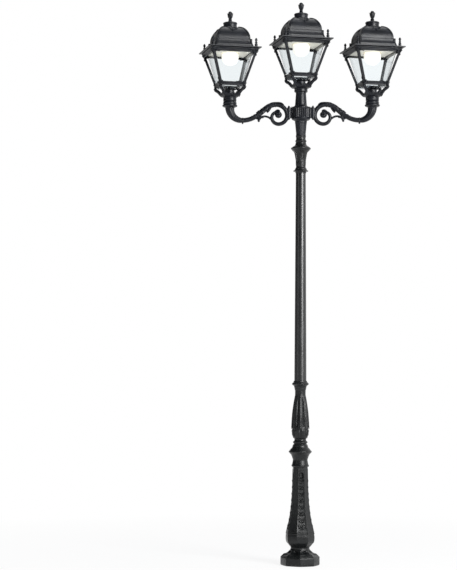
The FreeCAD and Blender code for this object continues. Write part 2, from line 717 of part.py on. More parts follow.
def leaf_stem(name, stations):
    """Arched stem from the scroll's outer side to the arm, where its sweep begins to rise."""
    start = max((place for place, heading, _ in stations if heading > 0), key=lambda place: place.x)
    end = min(stations, key=lambda station: station[1])[0]
    steps = 5
    points = []
    for step in range(steps):
        share = step / (steps - 1)
        lift = 4 * share * (1 - share) * size("leaf_across")
        points.append(start + (end - start) * share + Vector(0, 0, lift))
    ways = [(points[min(i + 1, steps - 1)] - points[max(i - 1, 0)]) for i in range(steps)]
    return tube_through(name, [
        (point, math.degrees(math.atan2(way.z, way.x)), size("leaf_across"))
        for point, way in zip(points, ways)
    ])


def arm(label, turn):
    """Scroll arm with its end block, cup and spigot, turned about Z to its side."""
    stations = arm_path()
    scroll = tube_through(label + "_scroll", stations)
    eye = document.addObject("Part::Sphere", label + "_eye")
    bind(eye, Radius="eye_across / 2")
    last, heading, _ = stations[-1]
    inward = Rotation(Vector(0, 1, 0), -heading).multVec(Vector(0, 0, 1))
    forward = Rotation(Vector(0, 1, 0), -heading).multVec(Vector(1, 0, 0))
    eye.Placement.Base = last + (inward * 0.35 + forward * 0.2) * size("eye_across")
    block = arm_seat_box(
        label + "_block", "pad_out", "pad_out + block_depth", "pad_width - 6", "block_height")
    stem = leaf_stem(label + "_stem", stations)
    seat, down = SIDE_SEAT, "cup_height"
    cup = turned(label + "_cup", [
        ("0", f"-{down}"), ("arm_cup_across / 2 + 2", f"-{down}", -0.1),
        ("cup_lip_across / 2 - 4", f"-0.78 * {down}"), ("cup_lip_across / 2", f"-0.72 * {down}"),
        ("cup_lip_across / 2", f"-0.55 * {down}"), ("cup_lip_across / 2 - 3", f"-0.45 * {down}", 0.12),
        ("cup_top_across / 2", f"-0.08 * {down}"), ("cup_top_across / 2", "0"), ("spigot_across / 2", "0"),
        ("spigot_across / 2", "spigot_height"), ("0", "spigot_height"),
    ])
    move(cup, "arm_reach", z=seat)
    whole = fused(label + "_body", [scroll, eye, block, stem, cup])
    wire = cylinder(label + "_wire", "wire_bore / 2", "spigot_height + cup_height", "arm_reach",
                    z=f"{seat} - {down}")
    holes = [hole for hole in stud_holes(label + "_stud_hole", "screw_gap") if "right" in hole.Name]
    finished = cut(label + "_cut", whole, [wire] + holes)
    finished.Placement = Placement(Vector(), Rotation(UP, turn))
    return node(finished, label)


def arm_studs():
    """Studs that tie both arms' end blocks to the hub."""
    return node(group("studs", stud_holes("stud", "0")), "arm_studs")


# A lantern


def vent_cap(tag):
    """Vent collar with its lid, cone and boss."""
    foot, top, wall = "dome_height", "(dome_height + vent_height)", "vent_wall"
    hole = "(crown_stud_across / 2 + screw_gap)"
    return turned(tag + "vent", [
        (f"vent_across / 2 - {wall}", foot), ("vent_across / 2", foot),
        ("vent_across / 2", f"{top} - 14"), ("vent_lid_across / 2", f"{top} - 13"),
        ("vent_lid_across / 2", f"{top} - 3", 0.2), ("vent_lid_across / 2 - 3", top),
        ("cap_boss_across", f"{top} + 3", -0.1), ("cap_boss_across / 2", CAP_FOOT),
        (hole, CAP_FOOT), (hole, f"{top} - {wall}"), (f"vent_across / 2 - {wall}", f"{top} - {wall}"),
    ])


def crown_finial(tag):
    """Tulip finial on a ringed stem, with the stud that holds the cap."""
    up = "crown_height_over_cap"
    stud = "crown_stud_across / 2"

    def z(share):
        return f"{CAP_FOOT} + {share} * {up}"

    return turned(tag + "crown", [
        ("0", f"{CAP_FOOT} - crown_stud_length"), (stud, f"{CAP_FOOT} - crown_stud_length"), (stud, CAP_FOOT),
        ("crown_across * 0.26", CAP_FOOT), ("crown_across * 0.26", z(0.13)), ("crown_across * 0.2", z(0.16)),
        ("crown_across * 0.22", z(0.21), 0.12), ("crown_across * 0.38", z(0.38)),
        ("crown_across * 0.43", z(0.62), -0.08), ("crown_across * 0.5", z(0.8)),
        ("crown_across * 0.35", z(0.81)), ("crown_across * 0.34", z(0.86), 0.15),
        ("crown_across * 0.03", z(1)), ("0", z(1)),
    ])


def corner_finials(tag):
    """Four corner finials whose studs hold the roof on the cage."""
    stud, base, up = "finial_stud_across / 2", "finial_base_height", "finial_height"

    def z(share):
        return f"{base} + {share} * ({up} - {base})"

    corners = [
        ("0", "-finial_stud_length"), (stud, "-finial_stud_length"), (stud, "0"), ("finial_across / 2", "0"),
        ("finial_across / 2", base), ("finial_across * 0.32", z(0.08)), ("finial_across * 0.32", z(0.14)),
        ("finial_across * 0.42", z(0.18)), ("finial_across * 0.42", z(0.3)),
        ("finial_across * 0.26", z(0.36)), ("finial_across * 0.26", z(0.42)),
        ("finial_across * 0.39", z(0.48)), ("finial_across * 0.39", z(0.84), 0.1),
        ("finial_across * 0.18", z(0.97)), ("0", up),
    ]
    return group(tag + "finials", at_corners(
        tag + "finial", "finial_spacing", lambda name, x, y: move(turned(name, corners), x, y)))


def roof(tag):
    """Hollow cast roof: bevelled rim, cornice and four-sided dome with a vent hole."""
    rim, wall = "rim_side / 2", "roof_wall"
    shape = square_stack(tag + "roof_outside", [
        (f"{rim} - rim_bevel", "-rim_thick"), (rim, "-rim_edge"), (rim, "0"), ("cornice_foot / 2", "0", 0.05),
        ("cornice_top / 2", "cornice_height - 2"), ("cornice_top / 2 - 3", "cornice_height"),
        ("dome_foot / 2", "cornice_height + 1", 0.075), ("dome_shoulder / 2", "dome_shoulder_height", 0.11),
        ("dome_crown / 2", "dome_height"),
    ], "rim_side + rim_thick")
    room = square_stack(tag + "roof_inside", [
        ("rim_mouth / 2", "-2 * rim_thick"), ("rim_mouth / 2", f"-{wall}"),
        (f"cornice_top / 2 - {wall}", "0"), (f"cornice_top / 2 - {wall}", f"cornice_height - {wall}"),
        (f"dome_foot / 2 - {wall}", "cornice_height", 0.075),
        (f"dome_shoulder / 2 - {wall}", f"dome_shoulder_height - {wall} / 2", 0.11),
        (f"dome_crown / 2 - {wall} / 2", f"dome_height - {wall}"),
    ], "rim_side + rim_thick")
    vent = cylinder(tag + "roof_vent", "dome_crown / 3", "dome_height", z="dome_height / 2")
    holes = at_corners(tag + "roof_hole", "finial_spacing", lambda name, x, y: cylinder(
        name, "finial_stud_across / 2 + screw_gap", "3 * rim_thick", x, y, "-2 * rim_thick"))
    ribs = [cornice_rib(f"{tag}rib_{index}", 45 + 90 * index) for index in range(4)]
    return cut(tag + "roof_cut", fused(tag + "roof_body", [shape] + ribs), [room, vent] + holes)


def cornice_rib(name, turn):
    """Upright rib on a corner of the cornice with a hollow outer line."""
    near, far = "(cornice_top / 2 - roof_wall) * sqrt(2)", "(cornice_foot / 2 + rim_edge) * sqrt(2)"
    return slab(name, [
        (near, "-rim_edge / 2"), (far, "-rim_edge / 2"), (far, "rim_edge", -0.12),
        ("(cornice_top / 2 + roof_wall) * sqrt(2)", "cornice_height"), (near, "cornice_height"),
    ], "rib_thick", turn)


def gasket(tag):
    """Flat square gasket between the rim and the cage."""
    outer = "(finial_spacing / 2 - 4)"
    ring = square_stack(tag + "gasket_outside", [(outer, CAGE_TOP), (outer, "-rim_thick")], "rim_side")
    inner = f"({outer} - gasket_width)"
    room = square_stack(
        tag + "gasket_inside", [(inner, f"{CAGE_TOP} - 1"), (inner, "1 - rim_thick")], "rim_side")
    return cut(tag + "gasket_cut", ring, [room])


def reflector(tag):
    """White sheet tray under the roof, with a round well for the lamp."""
    half, sheet_wall, face = "reflector_side / 2", "reflector_wall", "-reflector_depth"
    tray = square_stack(tag + "tray_outside", [(half, face), (half, "-rim_thick")], "rim_side")
    room = square_stack(tag + "tray_inside", [
        (f"{half} - {sheet_wall}", f"{face} + {sheet_wall}"), (f"{half} - {sheet_wall}", "0"),
    ], "rim_side")
    eye = cylinder(tag + "tray_hole", f"well_across / 2 - {sheet_wall}", "2 * reflector_depth",
                   z="-2 * reflector_depth")
    inner = f"(well_across / 2 - {sheet_wall})"
    hole = "(cap_screw_across / 2 + 2)"
    well = turned(tag + "well", [
        (inner, face), ("well_across / 2", face), ("well_across / 2", WELL_TOP), (hole, WELL_TOP),
        (hole, f"{WELL_TOP} - {sheet_wall}"), (inner, f"{WELL_TOP} - {sheet_wall}"),
    ])
    return fused(tag + "reflector_body", [cut(tag + "tray", tray, [room, eye]), well])


def lampholder(tag):
    """Ceramic lampholder over the well, with the bore that takes the lamp's screw cap."""
    bore = "(cap_screw_across / 2 + turning_gap)"
    depth = f"({HOLDER_FACE} + cap_screw_length)"
    top = f"({HOLDER_FACE} + holder_height)"
    return turned(tag + "holder", [
        (bore, HOLDER_FACE), ("holder_across / 2 + 4", HOLDER_FACE),
        ("holder_across / 2 + 4", f"{HOLDER_FACE} + 4"),
        ("holder_across / 2", f"{HOLDER_FACE} + 5"), ("holder_across / 2", f"{top} - 8", 0.2),
        ("holder_across / 2 - 8", top), ("0", top), ("0", depth), (bore, depth),
    ])


def terminal_block(tag):
    """Terminal block on the tray beside the well."""
    box = document.addObject("Part::Box", tag + "terminal")
    bind(box, Length="block_long", Width="block_width", Height="block_tall")
    return move(box, "-block_long / 2", "well_across / 2 + 6", "reflector_wall - reflector_depth")


def lamp(tag):
    """Hollow opal globe lamp with its neck and screw cap."""
    neck, cap = "globe_neck_across / 2", "cap_screw_across / 2"
    meet = f"(sqrt((globe_across / 2)^2 - ({neck})^2) - globe_depth)"
    tip = f"({HOLDER_FACE} + cap_screw_length - part_gap)"
    stem = turned(tag + "lamp_stem", [
        ("0", "-globe_depth / 2"), (neck, "-globe_depth / 2"), (neck, meet), (cap, f"{meet} + 4"),
        (cap, f"{tip} - 4"), (f"{cap} / 2", tip), ("0", tip),
    ])
    globe = ball(tag + "globe", "globe_across / 2", "-globe_depth")
    hollow = ball(tag + "globe_inside", "globe_across / 2 - globe_wall", "-globe_depth")
    return cut(tag + "lamp_cut", fused(tag + "lamp_body", [globe, stem]), [hollow])


def cage_half(height):
    """Half side of the cage at a height."""
    return f"(cage_top / 2 + ({height} + rim_thick) * {CAGE_SLOPE})"


def cage(tag):
    """Tapered frame of four corner posts between two rails, with screw bosses in its corners."""
    foot, under = CAGE_FOOT, f"({CAGE_TOP} - lip_thick - ledge_thick)"
    shell = square_stack(
        tag + "cage_outside", [(cage_half(foot), foot), (cage_half(CAGE_TOP), CAGE_TOP)], "rim_side")
    rebate = "(diffuser_top / 2 + diffuser_lip + part_gap)"
    ledge = "(diffuser_top / 2 + part_gap)"
    room = square_stack(tag + "cage_inside", [
        (f"{cage_half(foot)} - cage_wall", f"{foot} - 0.001"), (f"{cage_half(under)} - cage_wall", under),
        (ledge, under), (ledge, f"{CAGE_TOP} - lip_thick"), (rebate, f"{CAGE_TOP} - lip_thick"),
        (rebate, f"{CAGE_TOP} + 1"),
    ], "rim_side")
    low, high = f"({foot} + foot_rail)", "(-rim_thick - top_rail)"
    window = both_sides([
        (f"{cage_half(low)} - post_width", low), (f"{cage_half(high)} - post_width", high),
    ])
    windows = [slab(tag + "window_x", window, "rim_side"), slab(tag + "window_y", window, "rim_side", 90)]
    bosses = at_corners(tag + "top_boss", "finial_spacing", lambda name, x, y: cylinder(
        name, "corner_boss_across / 2", "finial_stud_length - rim_thick", x, y,
        f"{CAGE_TOP} - (finial_stud_length - rim_thick)"))
    feet = at_corners(tag + "foot_boss", "foot_boss_spacing", lambda name, x, y: cylinder(
        name, "corner_boss_across / 2", "foot_boss_height", x, y, foot))
    frame = fused(tag + "cage_body", [cut(tag + "cage_frame", shell, [room] + windows)] + bosses + feet)
    holes = at_corners(tag + "cage_hole", "finial_spacing", lambda name, x, y: cylinder(
        name, "finial_stud_across / 2 + screw_gap", "finial_stud_length - rim_thick", x, y,
        "-finial_stud_length - screw_gap"))
    stud_holes_below = at_corners(tag + "cage_foot_hole", "foot_boss_spacing", lambda name, x, y: cylinder(
        name, "foot_stud_across / 2 + screw_gap", "foot_stud_length + 2 * screw_gap", x, y,
        f"{foot} - foot_stud_length / 2 - screw_gap"))
    return cut(tag + "cage_cut", frame, holes + stud_holes_below)


def diffuser(tag):
    """Clear tapered box, open above, hung in the cage by its lip."""
    top, foot, wall = "diffuser_top / 2", "-diffuser_depth", "diffuser_wall"
    box = square_stack(tag + "diffuser_outside", [
        ("diffuser_foot / 2", foot), (top, f"{CAGE_TOP} - lip_thick"),
        (f"{top} + diffuser_lip", f"{CAGE_TOP} - lip_thick"), (f"{top} + diffuser_lip", CAGE_TOP),
    ], "rim_side")
    room = square_stack(tag + "diffuser_inside", [
        (f"diffuser_foot / 2 - {wall}", f"{foot} + {wall}"), (f"{top} - {wall}", f"{CAGE_TOP} + 1"),
    ], "rim_side")
    hole = cylinder(tag + "diffuser_hole", "nipple_across / 2 + part_gap", "4 * diffuser_wall",
                    z=f"{foot} - 2 * {wall}")
    return cut(tag + "diffuser_cut", box, [room, hole])


def gland_cup(tag):
    """Cup that carries the leads from the collar through the diffuser's floor."""
    top, plate, wall = "-gland_drop", "gland_plate_thick", "casting_wall / 2"
    nipple, wire = "nipple_across / 2", "(nipple_across / 2 - 3)"
    return turned(tag + "gland", [
        (f"gland_across / 2 - {wall}", CROWN_TOP), ("gland_across / 2", CROWN_TOP),
        ("gland_across / 2", f"{top} - {plate}"), ("gland_plate_across / 2", f"{top} - {plate}"),
        ("gland_plate_across / 2", top), ("nipple_across / 2 + 8", top),
        ("nipple_across / 2 + 8", "-diffuser_depth"), (nipple, "-diffuser_depth"),
        (nipple, "-diffuser_depth + 10"), (wire, "-diffuser_depth + 10"), (wire, f"{top} - {plate}"),
        (f"gland_across / 2 - {wall}", f"{top} - {plate}"),
    ])


def leg_stations():
    """Stations of one leg: an even way in, and a fall that is steepest at the foot, as in a bowl."""
    reach = size("foot_boss_spacing") / 2 * math.sqrt(2)
    start = Vector(reach, 0, size(CAGE_FOOT) - size("leg_foot_height") - 3)
    end = Vector(
        size("collar_across") / 2 - size("leg_across"), 0, size(CROWN_TOP) - size("leg_across") / 2 - 1)
    steps = 8

    def place(share):
        fall = 1 - (1 - share) ** 2
        return Vector(start.x + (end.x - start.x) * share, 0, start.z + (end.z - start.z) * fall)

    stations = []
    for step in range(steps + 1):
        share = step / steps
        way = place(share + 0.01) - place(share - 0.01)
        stations.append((place(share), math.degrees(math.atan2(way.z, way.x)), size("leg_across")))
    return stations


def leg_bracket(tag):
    """Four curved legs from the cage's corners to a shouldered collar that fits the spigot."""
    collar = turned(tag + "collar", [
        (SPIGOT_BORE, COLLAR_FOOT), ("collar_across / 2", COLLAR_FOOT),
        ("collar_across / 2", COLLAR_TOP, 0.15),
        ("gland_across / 2 + 2", CROWN_TOP), ("wire_bore / 2", CROWN_TOP),
        ("wire_bore / 2", f"{COLLAR_FOOT} + spigot_height + part_gap"),
        (SPIGOT_BORE, f"{COLLAR_FOOT} + spigot_height + part_gap"),
    ])
    legs = []
    for index in range(4):
        leg = tube_through(f"{tag}leg_{index}", leg_stations())
        leg.Placement = Placement(Vector(), Rotation(UP, 45 + 90 * index))
        legs.append(leg)
    feet = at_corners(tag + "leg_foot", "foot_boss_spacing", lambda name, x, y: cylinder(
        name, "corner_boss_across / 2 + 1", "leg_foot_height + 2", x, y,
        f"{CAGE_FOOT} - leg_foot_height - 2"))
    holes = at_corners(tag + "leg_hole", "foot_boss_spacing", lambda name, x, y: cylinder(
        name, "foot_stud_across / 2 + screw_gap", "foot_stud_length + 2 * screw_gap", x, y,
        f"{CAGE_FOOT} - foot_stud_length / 2 - screw_gap"))
    room = cylinder(tag + "collar_room", SPIGOT_BORE, "spigot_height + part_gap", z=COLLAR_FOOT)
    grubs = grub_cylinders(tag + "grub_hole", "screw_gap", "20")
    body = fused(tag + "bracket_body", [collar] + legs + feet)
    return cut(tag + "bracket_cut", body, [room] + holes + grubs)


def foot_studs(tag):
    """Studs between the bracket's feet and the cage."""
    return group(tag + "foot_stud_set", at_corners(
        tag + "foot_stud", "foot_boss_spacing", lambda name, x, y: cylinder(
            name, "foot_stud_across / 2", "foot_stud_length", x, y, f"{CAGE_FOOT} - foot_stud_length / 2")))


def grub_cylinders(name, gap, extra):
    """Three level cylinders through the collar's wall, 120 degrees apart."""
    middle = f"{COLLAR_FOOT} + collar_height / 2"
    near = "(spigot_across / 2 + grub_gap)"
    screws = []
    for index in range(3):
        angle = 90 + 120 * index
        tilt = Rotation(UP, angle) * Rotation(Vector(0, 1, 0), 90)
        start = f"({near} - {gap})"
        screws.append(cylinder(
            f"{name}_{index}", f"grub_across / 2 + {gap}", f"collar_across / 2 - {near} + {extra}",
            f"{start} * cos({angle})", f"{start} * sin({angle})", middle, tilt))
    return screws


def grub_screws(tag):
    """Grub screws that clamp the collar on its spigot."""
    return group(tag + "grub_set", grub_cylinders(tag + "grub", "0", "1"))


LANTERN_PARTS = (
    ("crown_finial", crown_finial), ("vent_cap", vent_cap), ("corner_finials", corner_finials),
    ("roof", roof), ("gasket", gasket), ("reflector", reflector), ("lampholder", lampholder),
    ("terminal_block", terminal_block), ("lamp", lamp), ("cage", cage), ("diffuser", diffuser),
    ("gland_cup", gland_cup), ("leg_bracket", leg_bracket), ("foot_studs", foot_studs),
    ("grub_screws", grub_screws),
)
LANTERNS = (
    ("left", "-arm_reach", SIDE_SEAT), ("middle", "0", MIDDLE_SEAT), ("right", "arm_reach", SIDE_SEAT),
)


def lanterns():
    """The parts of a lantern, each made once and then set on all three spigots, turned."""
    for label, make in LANTERN_PARTS:
        pattern = make(label + "_")
        for side, out, seat in LANTERNS:
            part = group(f"{label}_{side}", [pattern])
            part.Placement = Placement(Vector(), Rotation(UP, 1))
            bind(part, Placement__Rotation__Angle="lantern_turn")
            move(part, out, z=f"{seat} + lantern_height")
            node(part, f"{label}_{side}")


def build():
    """Every sub-part of the lamp post."""
    fill_sheet()
    for make in (mast, plinth, pedestal, knob, baluster, lower_collar, shaft, upper_collar, capital, hub):
        make()
    arm("arm_right", 0)
    arm("arm_left", 180)
    arm_studs()
    lanterns()
    document.recompute()


def check():
    """Stops if any object failed or any sub-part isn't a set of sound solids."""
    failed = [item.Name for item in document.Objects if {"Invalid", "Error"} & set(item.State)]
    unsound = [
        item.Label for item in nodes
        if item.Shape.isNull() or not item.Shape.isValid() or not item.Shape.Solids
    ]
    if failed or unsound:
        raise SystemExit(f"failed: {failed}; unsound: {unsound}")


def write():
    """One file for each sub-part."""
    os.makedirs("parts", exist_ok=True)
    for item in nodes:
        item.Shape.exportStep(f"parts/{item.Label}.step")
        print(f"{item.Label:24} {len(item.Shape.Solids)} solid(s) {item.Shape.Volume / 1000:10.2f} cm3")


build()
check()
write()
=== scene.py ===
"""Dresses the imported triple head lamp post: castings, ornament, glass, finishes, light and camera.

Every surface is worked out in millimetres as whole numpy arrays, and is put into Blender in metres, in the
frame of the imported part: Z up along the post, X along the arms to the right, Y to the back.
"""

from __future__ import annotations

import json
import logging
import math
from dataclasses import dataclass
from enum import Enum
from typing import Callable, Sequence

import bmesh
import bpy
import numpy as np
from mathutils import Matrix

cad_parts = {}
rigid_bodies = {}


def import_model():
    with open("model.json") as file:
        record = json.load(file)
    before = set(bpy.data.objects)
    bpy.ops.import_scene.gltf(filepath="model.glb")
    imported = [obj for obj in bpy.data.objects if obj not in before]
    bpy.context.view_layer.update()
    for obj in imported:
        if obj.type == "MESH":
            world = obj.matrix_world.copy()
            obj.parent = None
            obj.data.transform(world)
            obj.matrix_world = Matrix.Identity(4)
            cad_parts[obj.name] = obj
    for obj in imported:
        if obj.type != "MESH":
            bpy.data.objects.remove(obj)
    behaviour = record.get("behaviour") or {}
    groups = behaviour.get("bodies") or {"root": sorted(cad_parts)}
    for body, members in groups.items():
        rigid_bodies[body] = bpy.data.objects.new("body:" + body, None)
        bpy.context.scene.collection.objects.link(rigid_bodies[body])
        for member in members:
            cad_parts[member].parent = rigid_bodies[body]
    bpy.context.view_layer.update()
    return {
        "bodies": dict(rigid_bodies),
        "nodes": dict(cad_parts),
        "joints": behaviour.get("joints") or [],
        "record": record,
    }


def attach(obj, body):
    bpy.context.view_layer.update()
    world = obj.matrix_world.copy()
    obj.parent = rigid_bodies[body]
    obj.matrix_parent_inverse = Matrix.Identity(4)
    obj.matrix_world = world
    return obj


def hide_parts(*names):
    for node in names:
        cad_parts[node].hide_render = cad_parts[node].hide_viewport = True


logging.basicConfig(level=logging.INFO, format="%(name)s: %(message)s")
log = logging.getLogger("lamp_post")

Array = np.ndarray
Corner = tuple[float, ...]
Change = Callable[[Array, Array, Array], Array]
Socket = bpy.types.NodeSocket

MM = 0.001
TURN = 2 * math.pi
EIGHTH = TURN / 8
# No length is divided by less than this.
TINY = 1e-9
# Points closer than this many millimetres become one.
WELD = 0.002
# A rounding takes no more than this share of a stretch.
LARGEST_ROUNDING = 0.45
# Edges sharper than this many degrees stay sharp in the shading.
SHARP_ANGLE = 38.0

# Heights of the castings over the ground, and the head's places, as the part has them.
PEDESTAL_FOOT = 112.0
KNOB_FOOT = 612.0
BALUSTER_FOOT = 790.0
LOWER_COLLAR_FOOT = 1118.0
SHAFT_FOOT = 1152.0
UPPER_COLLAR_FOOT = 2466.0
CAPITAL_FOOT = 2492.0
HUB_FOOT = 2703.0
MIDDLE_SEAT = 2983.0
SIDE_SEAT = 2928.0
ARM_REACH = 452.0
# The castings are hollow round the mast.
SLEEVE = 24.6
# Height of the arms' middle over the hub's foot, and how far the corner finials stand out both ways.
ARM_MIDDLE = 148.0
# Radius of the wires' way through the hub, the arms and the brackets.
WIRE_BORE = 11.0
FINIAL_PLACE = 138.0

WHITE = "#ffffff"
COAT_IOR = 1.5
FLAT = (0.0, 0.0, 1.0)
ACROSS = (0.0, 1.0, 0.0)
HANDS = (1.0, -1.0)
# Reach of a square's corner over its half side.
DIAGONAL = 1.414
# A leaf's section: over its ridge from edge to edge, then back below.
LEAF_SECTION = np.array([[-1, 0], [-0.8, 0.32], [-0.5, 0.38], [-0.2, 0.55], [0, 1], [0.2, 0.55], [0.5, 0.38],
                         [0.8, 0.32], [1, 0], [0.5, -0.6], [0, -0.7], [-0.5, -0.6]], float)


# Surfaces


@dataclass
class Shape:
    """A surface in millimetres: its points, and its faces of four and of three corners."""

    points: Array
    quads: Array
    triangles: Array

    @staticmethod
    def grid(grid: Array, around: bool = True, along: bool = False, ends: bool = True) -> "Shape":
        """Surface through a grid of points.

        Face (i, j) joins points (i, j), (i, j + 1), (i + 1, j + 1) and (i + 1, j), and an end is closed by
        triangles to the mean of its row.

        Args:
            grid: Points of shape (rows, columns, 3).
            around: Whether the last column joins the first.
            along: Whether the last row joins the first.
            ends: Whether the first and last rows are closed, where the rows don't join.

        Returns:
            The surface.
        """
        rows, columns = grid.shape[:2]
        index = np.arange(rows * columns).reshape(rows, columns)
        if around:
            index = np.concatenate([index, index[:, :1]], axis=1)
        if along:
            index = np.concatenate([index, index[:1]], axis=0)
        quads = np.stack([index[:-1, :-1], index[:-1, 1:], index[1:, 1:], index[1:, :-1]], axis=-1).reshape(-1, 4)
        points = grid.reshape(-1, 3)
        triangles = np.zeros((0, 3), int)
        if ends and not along:
            poles = np.stack([grid[0].mean(0), grid[-1].mean(0)])
            first, last = index[0], index[-1]
            count = rows * columns
            triangles = np.concatenate([
                np.stack([first[1:], first[:-1], np.full(len(first) - 1, count)], axis=-1),
                np.stack([last[:-1], last[1:], np.full(len(last) - 1, count + 1)], axis=-1),
            ])
            points = np.concatenate([points, poles])
        return Shape(points, quads, triangles)

    def __add__(self, other: "Shape") -> "Shape":
        """Both surfaces as one."""
        shift = len(self.points)
        return Shape(
            np.concatenate([self.points, other.points]),
            np.concatenate([self.quads, other.quads + shift]),
            np.concatenate([self.triangles, other.triangles + shift]),
        )

    def changed(self, change: Callable[[Array], Array]) -> "Shape":
        """The surface with its points changed by a function of them."""
        return Shape(change(self.points), self.quads, self.triangles)

    def turned(self, degrees: float) -> "Shape":
        """The surface turned about Z."""
        return self.changed(lambda points: points @ turn_matrix(degrees).T)

    def moved(self, x: float = 0.0, y: float = 0.0, z: float = 0.0) -> "Shape":
        """The surface moved."""
        return self.changed(lambda points: points + np.array([x, y, z]))

    def repeated(self, count: int, first: float = 0.0) -> "Shape":
        """Copies evenly spaced about Z, the first one turned by that many degrees."""
        return total([self.turned(first + 360.0 * index / count) for index in range(count)])


def total(shapes: Sequence[Shape]) -> Shape:
    """All the surfaces as one."""
    whole = shapes[0]
    for shape in shapes[1:]:
        whole = whole + shape
    return whole


def turn_matrix(degrees: float) -> Array:
    """Turn about Z: x' = x cos a - y sin a, y' = x sin a + y cos a."""
    angle = math.radians(degrees)
    return np.array([
        [math.cos(angle), -math.sin(angle), 0.0],
        [math.sin(angle), math.cos(angle), 0.0],
        [0.0, 0.0, 1.0],
    ])


def length(vectors: Array) -> Array:
    """Lengths of vectors, none of them quite zero, with the last axis kept."""
    return np.maximum(np.linalg.norm(vectors, axis=-1, keepdims=True), TINY)


def unit(vectors: Array) -> Array:
    """Vectors over their lengths."""
    return vectors / length(vectors)


def smooth(share: Array) -> Array:
    """Smooth step: 3 s^2 - 2 s^3 of a share held between 0 and 1."""
    held = np.clip(share, 0.0, 1.0)
    return held * held * (3.0 - 2.0 * held)


def hump(value: Array, low: float, high: float, ease: float) -> Array:
    """1 between low and high and 0 outside them, with smooth slopes as wide as ease."""
    return smooth((value - low) / ease + 1.0) * smooth((high - value) / ease + 1.0)


def trace(corners: Sequence[Corner], steps: int = 10, soften: float = 1.2, tall: float = 1.0) -> Array:
    """Points along an outline of (across, up) corners.

    A third number bulges the stretch after its corner into an arc, to the right of its way: for a chord c and
    a bulge b, the point at share s stands off the chord by about 4 b c s (1 - s). Each corner is then rounded:
    it becomes three points of a curve that starts soften before the corner and ends soften after it.

    Args:
        corners: The outline's corners.
        steps: Points along a bulged stretch.
        soften: Reach of the rounding, in millimetres.
        tall: Factor on the corners' heights.

    Returns:
        Points of shape (n, 2).
    """
    places = np.array([corner[:2] for corner in corners], float) * np.array([1.0, tall])
    runs = []
    for a, b, corner in zip(places[:-1], places[1:], corners):
        bulge = corner[2] if len(corner) == 3 else 0.0
        share = np.linspace(0.0, 1.0, steps if len(corner) == 3 else 1, endpoint=False)[:, None]
        side = np.array([b[1] - a[1], a[0] - b[0]])
        runs.append(a + (b - a) * share + side * bulge * 4.0 * share * (1.0 - share))
    points = np.concatenate([*runs, places[-1:]])
    here = points[1:-1]
    back, ahead = points[:-2] - here, points[2:] - here
    first = here + back * np.minimum(soften / length(back), LARGEST_ROUNDING)
    last = here + ahead * np.minimum(soften / length(ahead), LARGEST_ROUNDING)
    middle = 0.25 * first + 0.5 * here + 0.25 * last
    rounded = np.stack([first, middle, last], axis=1).reshape(-1, 2)
    return np.concatenate([points[:1], rounded, points[-1:]])


def run_along(profile: Array) -> Array:
    """How far along a profile each of its points lies."""
    return np.concatenate([[0.0], np.cumsum(np.linalg.norm(np.diff(profile, axis=0), axis=1))])


def sampled(profile: Array, run: Array, at: Array) -> Array:
    """Points of a profile at places along it, where run gives the place of each of its own points."""
    return np.stack([np.interp(at, run, profile[:, i]) for i in (0, 1)], axis=1)


def refined(profile: Array, count: int) -> Array:
    """A profile with that many evenly spaced points put in between its own."""
    run = run_along(profile)
    return sampled(profile, run, np.unique(np.concatenate([np.linspace(0, run[-1], count), run])))


def around(columns: int) -> Array:
    """Evenly spaced angles, of shape (1, columns)."""
    return np.arange(columns)[None, :] * TURN / columns


def spun(reach: Array | float, angle: Array, height: Array | float) -> Array:
    """Grid of points about Z: x = r cos t, y = r sin t, z = height."""
    return np.stack(np.broadcast_arrays(reach * np.cos(angle), reach * np.sin(angle), height), axis=-1)


def turned(profile: Array, columns: int = 96, closed: bool = False, change: Change | None = None) -> Shape:
    """Surface turned round Z.

    Args:
        profile: Points of (radius, height).
        columns: Points round the axis.
        closed: Whether the last point joins the first, as on a hollow form.
        change: Gives the radii from the angles, the heights and the profile's radii.

    Returns:
        The surface.
    """
    angle = around(columns)
    radius, height = profile[:, :1], profile[:, 1:]
    reach = radius + 0.0 * angle if change is None else change(angle, height, radius)
    return Shape.grid(spun(reach, angle, height), along=closed)


def casting(outside: Array, columns: int = 96, bore: float = SLEEVE, change: Change | None = None) -> Shape:
    """Turned casting with a bore: its outside, then its top, bore and foot, joined into one closed surface."""
    rows = np.concatenate([outside, [[bore, outside[-1, 1]], [bore, outside[0, 1]]]])

    def outside_only(angle: Array, height: Array, radius: Array) -> Array:
        """Changes the outside and leaves the bore round."""
        return np.concatenate([change(angle, height[:-2], radius[:-2]), radius[-2:] + 0.0 * angle])

    return turned(rows, columns, True, outside_only if change else None)


def octagon(off: Array) -> Array:
    """Radius of an octagon over that of its corners: cos 22.5 / cos(angle off the side's middle)."""
    return math.cos(EIGHTH / 2) / np.cos(off)


def square_ring(side_points: int = 8, corner_points: int = 5) -> tuple[Array, Array]:
    """Unit parts of a rounded square: a point is flat * (half - rounding) + bend * rounding.

    Flat runs straight from corner to corner, and bend is (cos a, sin a) with a turning by 90 degrees in each
    corner.

    Args:
        side_points: Points along a side.
        corner_points: Points round a corner.

    Returns:
        Flat and bend, each of shape (n, 2).
    """
    flats, bends = [], []
    for quarter in range(4):
        turn = turn_matrix(90.0 * quarter)[:2, :2]
        along = np.linspace(-1.0, 1.0, side_points, endpoint=False)
        flats.append(np.stack([np.ones(side_points), along], axis=1) @ turn.T)
        bends.append(np.tile([1.0, 0.0], (side_points, 1)) @ turn.T)
        angle = np.linspace(0.0, math.pi / 2, corner_points, endpoint=False)
        flats.append(np.tile([1.0, 1.0], (corner_points, 1)) @ turn.T)
        bends.append(np.stack([np.cos(angle), np.sin(angle)], axis=1) @ turn.T)
    return np.concatenate(flats), np.concatenate(bends)


